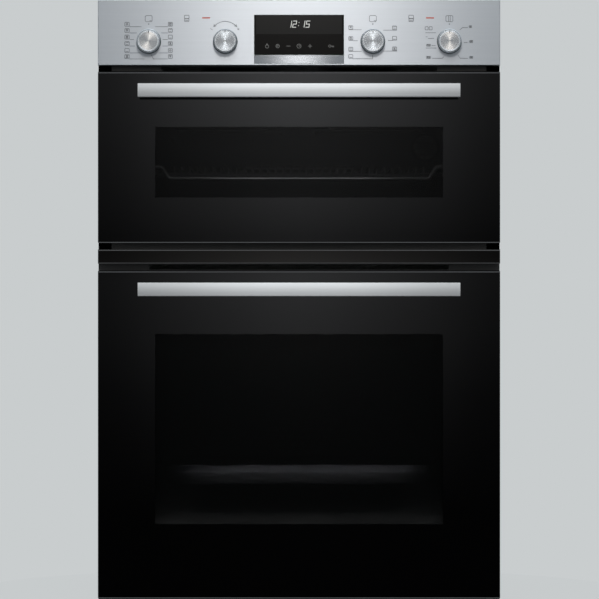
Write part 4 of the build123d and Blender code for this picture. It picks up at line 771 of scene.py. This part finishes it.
# Heat from above, heat from below, and no fan, a cross or a ring
HEAT_KINDS = [(0, 0, 2), (1, 0, 1), (1, 1, 2), (1, 1, 0), (0, 1, 0), (1, 1, 1)]


def strokes(x0, z0, *lines):
    """Lines through points that are given from one place."""
    return [chain([(x0 + x, z0 + z) for x, z in line]) for line in lines]


def head_sign(x, z0):
    """A small oven above a dial, with a dot under it."""
    return [frame_sign(x, z0 + 32.2, 10.2, 9.0), arc(x, z0 + 24.2, 0.5, 0, 360, 8)]


def pair_sign(x, z0):
    """Two ovens, one on the other, with a line in the lower one."""
    ovens = [frame_sign(x, z0 + 34.6, 6.8, 5.2), frame_sign(x, z0 + 30.2, 6.4, 4.4)]
    return ovens + strokes(x, z0, [(-2.0, 29.6), (2.0, 29.6)])


def first_dial_signs(x, z0):
    """Heat signs in a column on each side, with lines that lead to the dial."""
    signs = head_sign(x, z0) + pair_sign(x + 56.2, z0)
    signs += strokes(x, z0, [(1.6, 29.2), (4.0, 29.2)], [(7.0, -27.3), (3.6, -21.0)])
    rows = [
        (23.9, -11.0, 9.9), (14.7, -18.0, 18.8), (5.0, -22.0, 20.8),
        (-4.6, -20.5, 20.8), (-14.8, -13.0, 14.9), (-23.7, -6.5, 7.0),
    ]
    for i, (row, left, right) in enumerate(rows):
        low = row - 3.6
        signs.append(heat_sign(x - 32.0, z0 + row, 6.6, 5.8, *HEAT_KINDS[i]))
        signs.append(heat_sign(x + 32.0, z0 + row, 6.0, 5.8, *HEAT_KINDS[(i + 2) % 6]))
        signs += strokes(x, z0, [(-28.0, low), (left, low)], [(28.0, low), (right, low)])
    return signs


def second_dial_signs(x, z0):
    """An arc with an arrow head at each end, and a minus and a cross past them."""
    signs = [arc(x, z0 + 6.6, 21.6, 44, 136, 14)]
    for s in (-1, 1):
        tip = (s * 17.0, 20.6)
        barbs = [(tip[0] - s * back, tip[1] + up) for back, up in ((0.8, 3.4), (3.6, 0.8), (2.2, 2.1))]
        signs += strokes(x, z0, *[[tip, barb] for barb in barbs])
    less, more = [(-21.6, 17.6), (-18.8, 15.6)], [(18.4, 15.6), (20.4, 17.6)]
    return signs + strokes(x, z0, less, more, [(18.4, 17.4), (20.2, 15.8)])


def third_dial_signs(x, z0):
    """Four heat signs on the left and three on the right, with lines that lead to the dial."""
    signs = head_sign(x, z0) + pair_sign(x + 56.6, z0)
    signs += strokes(x, z0, [(1.6, 29.2), (4.0, 29.2)], [(-0.5, -27.0), (-0.5, -22.0)])
    left = [(19.2, -17.0), (3.0, -22.4), (-12.7, -17.0), (-23.6, -0.5)]
    right = [(18.6, 15.8), (3.3, 22.6), (-12.3, 15.2)]
    for i, (row, end) in enumerate(left):
        signs.append(heat_sign(x - 32.6, z0 + row, 6.0, 5.6, *HEAT_KINDS[(i + 1) % 6]))
        signs += strokes(x, z0, [(-35.4 + 6.0 * (i % 2), row - 3.4), (end, row - 3.4)])
    for i, (row, end) in enumerate(right):
        signs.append(heat_sign(x + 32.0, z0 + row, 6.2, 5.6, *HEAT_KINDS[(i + 3) % 6]))
        signs += strokes(x, z0, [(35.2 - 6.0 * (i % 2), row - 3.4), (end, row - 3.4)])
    return signs


def fourth_dial_signs(x, z0):
    """Degrees round the dial and two small ovens, with lines that lead to the dial."""
    signs = head_sign(x, z0) + [frame_sign(x + side, z0 + 18.0, 4.4, 4.6) for side in (-33.6, -27.6)]
    degrees = [
        ("50", 31.0, 20.4), ("100", 31.6, -1.4), ("150", 31.6, -25.0), ("200", -30.8, -25.0),
        ("250", -30.8, -7.0),
    ]
    signs += [digits(text, x + dx, z0 + dz, 2.7) for text, dx, dz in degrees]
    return signs + strokes(
        x, z0,
        [(-1.2, 28.0), (-1.2, 36.4)],
        [(1.2, 28.0), (1.2, 36.4)],
        [(-35.0, 11.4), (-20.2, 11.4)],
        [(-34.6, 5.4), (-32.6, 5.4)],
        [(-31.0, 3.0), (-23.0, 3.0)],
        [(-26.0, -7.6), (-20.6, -7.6)],
        [(-34.6, -11.2), (-19.2, -11.2)],
        [(-25.2, -26.4), (-10.4, -26.4), (-8.2, -24.0)],
        [(27.0, 19.0), (19.4, 19.0), (15.6, 15.8)],
        [(26.4, -3.0), (21.6, -3.0)],
        [(26.6, -26.4), (16.0, -26.4), (13.0, -21.8)],
    )


def panel_signs():
    """The printed signs of the panel, dial by dial."""
    makers = (first_dial_signs, second_dial_signs, third_dial_signs, fourth_dial_signs)
    signs = [sign for make, x in zip(makers, KNOB_XS) for sign in make(x / MM, PRINT_Z / MM)]
    return np.concatenate(signs) * MM


def heat_bars():
    """The two rows of small red dashes."""
    z = PRINT_Z / MM + 33.3
    dashes = [(x + s, z) for x in (-137.2, 193.4) for s in (-4.5, -1.5, 1.5, 4.5)]
    return np.concatenate([chain([(x - 0.5, z), (x + 0.5, z)]) for x, z in dashes]) * MM


def clock_sign():
    """The time on the display."""
    middle = DISPLAY_LOW.z / MM + 44.6
    lines = digits("12:15", -0.3, middle, 9.2)
    lines[..., 0] += (lines[..., 1] - middle) * CLOCK_SLANT
    return lines * MM


def touch_signs():
    """Touch symbols: a lamp, a fast-heat coil, minus, clock, plus and a key."""
    z = DISPLAY_LOW.z / MM + 12.2
    lines = [
        arc(-47.2, z - 0.6, 2.4, 0, 360, 14),
        chain([(-48.6, z + 1.4), (-47.2, z + 3.6), (-45.8, z + 1.4)]),
        arc(-31.6, z, 2.6, 60, 400, 14),
        arc(-31.6, z, 1.2, 0, 260, 8),
        chain([(-18.2, z), (-13.2, z)]),
        arc(0.0, z, 3.0, 0, 360, 16),
        chain([(0.0, z + 1.6), (0.0, z), (1.4, z)]),
        chain([(13.6, z), (18.8, z)]),
        chain([(16.2, z - 2.6), (16.2, z + 2.6)]),
        arc(45.4, z, 1.7, 0, 360, 10),
        chain([(47.1, z), (51.2, z), (51.2, z - 1.4)]),
        chain([(49.4, z), (49.4, z - 1.4)]),
    ]
    return np.concatenate(lines) * MM


# Operators


def give(material, *names):
    """Puts one finish on CAD nodes."""
    for name in names:
        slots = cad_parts[name].data.materials
        slots.clear()
        slots.append(material)


class OVEN_OT_casing(bpy.types.Operator):
    """Finish the casing sheets, the motors, the boards and the small parts behind the front"""

    bl_idname = "oven.casing"
    bl_label = "Casing Finishes"

    def execute(self, context):
        colours = context.scene.oven_colours
        give(
            galvanised("zinc_sheet", colours.casing),
            "base_pan", "side_panel_left", "side_panel_right", "rear_panel", "top_cover",
        )
        give(mottled("zinc_screw", (0.62, 0.61, 0.57), 0.3, 1.0, 300.0), "casing_screws")
        give(
            mottled("aluminised_sheet", (0.62, 0.62, 0.62), 0.38, 1.0, 40.0),
            "blower_housing", "blower_impeller",
        )
        give(
            mottled("motor_steel", (0.36, 0.36, 0.37), 0.42, 1.0, 120.0),
            "circulation_motor", "blower_motor",
        )
        give(circuit_green("circuit_green"), "control_board", "power_board")
        give(
            mottled("black_moulding", (0.03, 0.03, 0.032), 0.5, 0.0, 260.0, relief=0.0002),
            "terminal_block", "cable_gland", "selector_switches",
        )
        give(mottled("white_ceramic", (0.78, 0.76, 0.70), 0.45, 0.0, 150.0, spread=0.05), "lamp_sockets")
        return {"FINISHED"}


class OVEN_OT_front(bpy.types.Operator):
    """Finish the panel, the trim, the display, the dials and the handles"""

    bl_idname = "oven.front"
    bl_label = "Front Finishes"

    def execute(self, context):
        colours = context.scene.oven_colours
        along = (4.0, 4.0, 900.0)
        # The panel, the strip and the bars are darkened towards their ends by painted shade
        panel = brushed("panel_steel", tint(colours.steel, 0.78), 0.36, along, painted_end_shade=0.16, comb=0.8)
        give(panel, "control_panel")
        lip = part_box("badge_strip")[1].z
        strip = brushed("strip_steel", tint(colours.steel, 1.16), 0.16, along, painted_end_shade=0.4, reach=0.066, lip=lip)
        give(strip, "badge_strip")
        bar = brushed("handle_steel", (0.945, 0.965, 1.0), 0.6, (5.0, 700.0, 700.0), painted_end_shade=0.3, reach=0.26)
        give(bar, "upper_handle", "lower_handle")
        trim_low, trim_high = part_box("mid_trim")
        casing_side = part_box("side_panel_right")[1].x
        give(framed_black("frame_black", (0.012, 0.012, 0.013), casing_side, trim_low.z), "front_frame")
        give(edged_gloss("trim_black", colours.glass_print, trim_low.z, trim_high.z), "mid_trim")
        give(display_black("display_black", DISPLAY_LOW, DISPLAY_HIGH), "display_glass")
        for number, x in enumerate(KNOB_XS, start=1):
            # The first dial's painted highlight fans are set at an angle
            highlight_lean = DIAL_HIGHLIGHT_LEAN if number == 1 else 0.0
            # Painted light: the outer two dials take a lighter copy of the same metal
            colour = tint(DIAL_COLOUR, OUTER_LIT_GAIN if number in OUTER_DIALS else 1.0)
            give(spun_with_painted_sheen(f"spun_metal_painted_sheen_{number}", colour, x, KNOB_Z, highlight_lean), f"knob_{number}")
        zinc = mottled("shaft_steel", (0.55, 0.55, 0.56), 0.3, 1.0, 200.0)
        give(zinc, *[f"selector_shaft_{i}" for i in range(1, 5)])
        return {"FINISHED"}


class OVEN_OT_doors(bpy.types.Operator):
    """Finish the door glasses, frames and hinges"""

    bl_idname = "oven.doors"
    bl_label = "Door Finishes"

    def execute(self, context):
        sizes, colours = context.scene.oven_sizes, context.scene.oven_colours
        windows = {
            "upper": (sizes.upper_window_low, sizes.upper_window_high),
            "lower": (sizes.lower_window_low, sizes.lower_window_high),
        }
        section = mottled("door_section", (0.035, 0.035, 0.036), 0.45, 0.3, 150.0, relief=0.0001)
        zinc = mottled("hinge_zinc", (0.58, 0.57, 0.53), 0.34, 1.0, 140.0)
        pane = smoked_pane("smoked_pane", (0.004, 0.0045, 0.0045), 0.44)
        for door in DOORS:
            corner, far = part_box(f"{door}_outer_glass")
            glass = printed_glass(
                f"{door}_printed_glass", colours.glass_print, sizes.window_half, *windows[door],
                corner.z, far.z, WINDOW_CLEAR[door],
            )
            give(glass, f"{door}_outer_glass")
            give(pane, f"{door}_inner_glass")
            give(section, f"{door}_door_frame")
            give(zinc, f"{door}_hinge_channels", f"{door}_hinge_rods")
        give(pane, "lower_middle_glass")
        give(zinc, "hinge_claws", "hinge_pins")
        return {"FINISHED"}


class OVEN_OT_inside(bpy.types.Operator):
    """Finish the cavities, shelves, elements, lamps and probes"""

    bl_idname = "oven.inside"
    bl_label = "Cavity Finishes"

    def execute(self, context):
        colours = context.scene.oven_colours
        enamel = speckled_enamel("speckled_enamel", colours.enamel)
        give(enamel, "upper_cavity", "lower_cavity", "fan_baffle")
        give(speckled_enamel("pan_enamel", tint(colours.enamel, 4.0)), "universal_pan")
        chrome = mottled("chrome_wire", (0.42, 0.42, 0.43), 0.34, 1.0, 300.0, spread=0.06)
        give(chrome, "shelf_supports", "wire_rack")
        give(
            mottled("fired_tube", (0.10, 0.085, 0.075), 0.5, 0.7, 50.0, spread=0.4),
            "grill_elements", "base_elements", "ring_element",
        )
        give(
            mottled("probe_steel", (0.2, 0.195, 0.185), 0.45, 1.0, 200.0),
            "temperature_probes", "circulation_fan",
        )
        give(pressed_glass("pressed_glass"), "lamp_lenses")
        return {"FINISHED"}


class OVEN_OT_print(bpy.types.Operator):
    """Print the panel's signs, the heat marks and the lit display"""

    bl_idname = "oven.print"
    bl_label = "Panel Print"

    def execute(self, context):
        sizes, colours = context.scene.oven_sizes, context.scene.oven_colours
        glass = float(DISPLAY_LOW.y)
        ink = mottled("panel_ink", colours.ink, 0.5, 0.0, 400.0)
        red = mottled("heat_mark_red", colours.warm_mark, 0.45, 0.0, 400.0)
        lit = lit_sign("lit_digits", colours.lit, 0.9)
        dim = lit_sign("dim_signs", tint(colours.lit, 0.2), 0.9)
        plan = [
            ("panel_signs", panel_signs(), sizes.print_line, FACE_Y, ink, "fascia_steel"),
            ("heat_marks", heat_bars(), sizes.print_line * 2.6, FACE_Y, red, "fascia_steel"),
            ("clock_digits", clock_sign(), sizes.print_line * 1.45, glass, lit, "display"),
            ("touch_signs", touch_signs(), sizes.print_line, glass, dim, "display"),
        ]
        for name, lines, width, face, material, slot in plan:
            points, faces = bars(lines, width, face - sizes.print_lift, face + sizes.print_lift)
            piece = mesh_piece(name, points, faces, material)
            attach(piece, ROOT)
        return {"FINISHED"}


class OVEN_OT_marks(bpy.types.Operator):
    """Fill each dial's index notch"""

    bl_idname = "oven.marks"
    bl_label = "Dial Marks"

    def execute(self, context):
        dark = mottled("index_fill", (0.16, 0.165, 0.17), 0.5, 0.0, 500.0)
        for number, x in enumerate(KNOB_XS, start=1):
            front = float(KNOB_BOXES[number - 1][0].y)
            line = [[(x, KNOB_Z + MARK_INNER), (x, KNOB_Z + MARK_OUTER)]]
            points, faces = bars(line, MARK_W, front + MARK_FRONT, front + MARK_BACK)
            piece = mesh_piece(f"dial_mark_{number}", points, faces, dark)
            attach(piece, f"knob_{number}")
        return {"FINISHED"}


class OVEN_OT_wool(bpy.types.Operator):
    """Wrap both cavities in quilted mineral wool"""

    bl_idname = "oven.wool"
    bl_label = "Wool Wraps"

    def execute(self, context):
        quilt = context.scene.oven_sizes.wool_quilt
        material = wool("mineral_wool")
        back = float(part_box("insulation_wraps")[1].y) - END_ROOM
        for name in DOORS:
            low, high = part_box(f"{name}_cavity")
            half_x, half_z = float(high.x) - FLANGE_W, float(high.z - low.z) / 2 - FLANGE_W
            middle = float(high.z + low.z) / 2
            inner, normal, _ = rounded_loop(
                half_x + SIDE_ROOM, half_z + CROWN_ROOM, middle - WRAP_DROP, WRAP_R, WOOL_STEPS
            )
            outer = inner + normal * WOOL_T
            y0, y1 = float(low.y) + FRONT_ROOM, float(high.y) - END_ROOM
            blanket = padded_ring(inner, outer, y0, y1, BLANKET_ACROSS, quilt)
            hole, drop, room = PADS[name]
            ring = circle_loop(hole, middle - drop, WOOL_STEPS)
            square, _, _ = rounded_loop(
                half_x - PAD_SIDE_ROOM, half_z - room, middle - drop, WRAP_R, WOOL_STEPS
            )
            pad = padded_ring(ring, square, float(high.y) + END_ROOM, back, PAD_ACROSS)
            for part, points in (("blanket", blanket), ("pad", pad)):
                piece = grid_piece(f"{name}_wool_{part}", points, material)
                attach(piece, ROOT)
                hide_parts("insulation_wraps")
        return {"FINISHED"}


class OVEN_OT_seals(bpy.types.Operator):
    """Lay a braided seal round each cavity's mouth"""

    bl_idname = "oven.seals"
    bl_label = "Door Seals"

    def execute(self, context):
        material = braided("braided_seal")
        seal_low, seal_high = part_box("door_seals")
        half_x = float(seal_high.x) - SEAL_HALF
        for name in DOORS:
            low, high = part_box(f"{name}_cavity")
            middle = float(high.z + low.z) / 2
            half_z = float(high.z - low.z) / 2 - SEAL_INSET - SEAL_HALF
            line, normal, s = rounded_loop(half_x, half_z, middle, SEAL_CORNER, SEAL_STEPS)
            points, uv = seal_tube(line, normal, s, float(seal_low.y), float(seal_high.y))
            piece = grid_piece(f"{name}_braided_seal", points, material, uv)
            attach(piece, ROOT)
            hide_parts("door_seals")
        return {"FINISHED"}


class OVEN_OT_springs(bpy.types.Operator):
    """Wind the hinge springs, each pair carried by its door"""

    bl_idname = "oven.springs"
    bl_label = "Hinge Springs"

    def execute(self, context):
        material = mottled("spring_steel", (0.42, 0.41, 0.39), 0.3, 1.0, 300.0)
        for name in DOORS:
            low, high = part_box(f"{name}_hinge_springs")
            reach, length = (high.y - low.y) / 2, high.z - low.z
            middle = (low.y + high.y) / 2
            left = coil(low.x + reach, middle, low.z, high.z, reach)
            right = coil(high.x - reach, middle, low.z, high.z, reach)
            points = np.concatenate([left[0], right[0]])
            faces = np.concatenate([left[1], right[1] + len(left[0])])
            piece = mesh_piece(f"{name}_wound_springs", points, faces, material)
            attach(piece, f"{name}_door")
            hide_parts(f"{name}_hinge_springs")
            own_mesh(piece)
        return {"FINISHED"}


class OVEN_OT_studio(bpy.types.Operator):
    """Set up the plain studio: floor, soft light, reflection card and camera"""

    bl_idname = "oven.studio"
    bl_label = "Studio"

    def execute(self, context):
        scene = context.scene
        sizes, colours = scene.oven_sizes, scene.oven_colours
        scene.view_settings.view_transform = "Standard"
        self.world(scene, colours)
        self.floor(colours)
        self.card(sizes)
        self.lamp("key_lamp", (0.0, -2.4, 3.0), tilt=-0.92, width=2.6, height=1.4, power=20.0)
        warm = {"width": 0.3, "colour": WARM_LAMP}
        self.lamp("centre_lamp", (0.0, LAMP_Y, 1.2), tilt=-0.12, height=0.15, power=1.30, **warm)
        high = self.lamp("panel_lamp", (0.0, LAMP_Y, 1.95), tilt=-0.39, height=0.3, power=12.3, **warm)
        self.keep_to(high, "control_panel")
        self.cavity_lamps()
        self.camera(scene, sizes)
        return {"FINISHED"}

    def world(self, scene, colours):
        """An even backdrop for the camera, and light that fades downwards for everything else."""
        world = scene.world or bpy.data.worlds.new("studio")
        scene.world = world
        world.use_nodes = True
        air = Graph(world.node_tree)
        up = air.node("SeparateXYZ", inputs={0: air.node("TexCoord", output="Generated")}, output="Z")
        span = {"From Min": -0.7, "From Max": 0.7, "To Min": 0.30, "To Max": 1.30}
        fall = air.node("MapRange", inputs={"Value": up, **span})
        seen = air.node("LightPath", output="Is Camera Ray")
        back = world.node_tree.nodes["Background"]
        air.feed(back.inputs["Strength"], air.node("Mix", inputs={0: seen, 2: fall, 3: 1.0}))
        air.feed(back.inputs["Color"], tuple(colours.backdrop))

    def floor(self, colours):
        """A disc: one ring of equal angle steps round a centre point."""
        ring = np.arange(FLOOR_STEPS)
        turn = ring / FLOOR_STEPS * FULL_TURN
        rim = np.stack([FLOOR_R * np.cos(turn), FLOOR_R * np.sin(turn), np.full(FLOOR_STEPS, FLOOR_Z)], -1)
        points = np.concatenate([[[0.0, 0.0, FLOOR_Z]], rim])
        faces = np.stack([np.zeros(FLOOR_STEPS, int), 1 + ring, 1 + np.roll(ring, -1)], -1)
        paint = Paint("studio_floor")
        backdrop = tuple(colours.backdrop)
        paint.set(Base_Color=paint.mix(paint.noise(30.0), tint(backdrop, 0.98), backdrop), Roughness=0.9)
        glow = paint.node("Emission", inputs={"Color": backdrop})
        rays = ("Is Camera Ray", "Is Glossy Ray", "Is Transmission Ray")
        camera, glossy, through = paint.several("LightPath", rays)
        seen = (camera + glossy + through) * FLOOR_GLOW
        paint.show(paint.node("MixShader", inputs={0: seen, 1: paint.body, 2: glow}))
        piece = mesh_piece("studio_floor", points, faces, paint.material)
        piece.visible_glossy = False

    def card(self, sizes):
        """A soft gradient board behind the camera that only reflections see."""
        y, half, low, high = FACE_Y - sizes.camera_distance - CARD_BACK, CARD_HALF, CARD_LOW, CARD_HIGH
        points = np.array([[-half, y, low], [-half, y, high], [half, y, high], [half, y, low]])
        levels = [
            (-0.70, 0.0), (-0.20, 0.01), (0.03, 0.13), (0.16, 0.22), (0.27, 0.35), (0.36, 0.47), (0.43, 0.54),
            (0.515, 0.66), (0.575, 0.39), (0.62, 0.24), (0.70, 0.40), (0.92, 0.77), (1.10, 1.12), (1.60, 1.5),
        ]
        sides = [
            (0.0, 1.0), (0.085, 0.94), (0.175, 0.80), (0.27, 0.66), (0.35, 0.54), (0.44, 0.41), (0.53, 0.27),
            (0.59, 0.21), (0.75, 0.16),
        ]
        paint = Paint("reflection_card")
        px, _, pz = paint.axes()
        tall_stops = [((z - low) / (high - low), level) for z, level in levels]
        tall = paint.node("ValToRGB", {"stops": tall_stops}, {0: (pz - low) / (high - low)})
        wide_stops = [(x / half, level) for x, level in sides]
        wide = paint.node("ValToRGB", {"stops": wide_stops}, {0: abs(px) / half})
        paint.show(paint.node("Emission", inputs={"Color": WARM_CARD, "Strength": tall * wide}))
        card = mesh_piece("reflection_card", points, np.array([[0, 1, 2, 3]]), paint.material)
        card.visible_camera = False
        card.visible_diffuse = False
        card.visible_shadow = False
        card.visible_transmission = False

    def lamp(
        self, name, place, tilt, width, height, power,
        spread=np.pi, shape="RECTANGLE", colour=(1.0, 1.0, 1.0),
    ):
        """An area lamp that faces +Y, tilted up by an angle in radians."""
        data = bpy.data.lights.new(name, "AREA")
        data.shape = shape
        data.size, data.size_y, data.energy, data.spread = width, height, power, spread
        data.color = colour
        lamp = bpy.data.objects.new(name, data)
        lamp.location = place
        lamp.rotation_euler = (np.pi / 2 + tilt, 0.0, 0.0)
        lamp.visible_camera = False
        bpy.context.scene.collection.objects.link(lamp)
        return lamp

    def keep_to(self, lamp, node):
        """Let a lamp light one node alone; everything still shades that node from it."""
        lit = bpy.data.collections.new(f"{node}_light")
        lit.objects.link(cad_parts[node])
        lamp.light_linking.receiver_collection = lit

    def cavity_lamps(self):
        """Weak lamps behind the door glass, so that the shelves and the lower wall show through it."""
        upper_low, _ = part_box("upper_cavity")
        lower_low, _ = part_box("lower_cavity")
        rack_low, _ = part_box("wire_rack")
        baffle_low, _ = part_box("fan_baffle")
        _, pan_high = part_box("universal_pan")
        rack_spot = (0.0, upper_low.y + RACK_LAMP_IN, rack_low.z + RACK_LAMP_UP)
        pan_spot = (0.0, lower_low.y + PAN_LAMP_IN, pan_high.z - PAN_LAMP_DOWN)
        wall_spot = (0.0, baffle_low.y - WALL_LAMP_OUT, baffle_low.z - WALL_LAMP_DOWN)
        self.lamp("rack_lamp", rack_spot, 0.0, width=0.28, height=0.006, power=0.0098, shape="ELLIPSE")
        narrow = {"height": 0.006, "power": 0.2, "spread": 1.75, "shape": "ELLIPSE"}
        self.lamp("pan_lamp", pan_spot, 0.49, width=0.35, **narrow)
        self.lamp("wall_lamp", wall_spot, 0.0, width=0.46, height=0.010, power=0.1, spread=1.75)

    def camera(self, scene, sizes):
        data = bpy.data.cameras.new("camera")
        data.sensor_width = SENSOR_W
        data.lens = SENSOR_W * sizes.camera_distance / sizes.camera_view
        data.clip_end = 50.0
        camera = bpy.data.objects.new("camera", data)
        camera.location = (CAMERA_X, FACE_Y - sizes.camera_distance, sizes.camera_height)
        camera.rotation_euler = (np.pi / 2, 0.0, 0.0)
        scene.collection.objects.link(camera)
        scene.camera = camera


class OVEN_PT_panel(bpy.types.Panel):
    """The oven's steps, in order"""

    bl_label = "Double Wall Oven"
    bl_space_type = "VIEW_3D"
    bl_region_type = "UI"
    bl_category = "Oven"

    def draw(self, context):
        for step in STEPS:
            self.layout.operator(step.bl_idname)


STEPS = (
    OVEN_OT_casing,
    OVEN_OT_front,
    OVEN_OT_doors,
    OVEN_OT_inside,
    OVEN_OT_print,
    OVEN_OT_marks,
    OVEN_OT_wool,
    OVEN_OT_seals,
    OVEN_OT_springs,
    OVEN_OT_studio,
)
CLASSES = (OvenSizes, OvenColours, *STEPS, OVEN_PT_panel)


def register():
    for cls in CLASSES:
        bpy.utils.register_class(cls)
    bpy.types.Scene.oven_sizes = PointerProperty(type=OvenSizes)
    bpy.types.Scene.oven_colours = PointerProperty(type=OvenColours)


def unregister():
    del bpy.types.Scene.oven_colours
    del bpy.types.Scene.oven_sizes
    for cls in reversed(CLASSES):
        bpy.utils.unregister_class(cls)


def main():
    register()
    for step in STEPS:
        group, name = step.bl_idname.split(".")
        getattr(getattr(bpy.ops, group), name)()


if __name__ == "__main__":
    main()
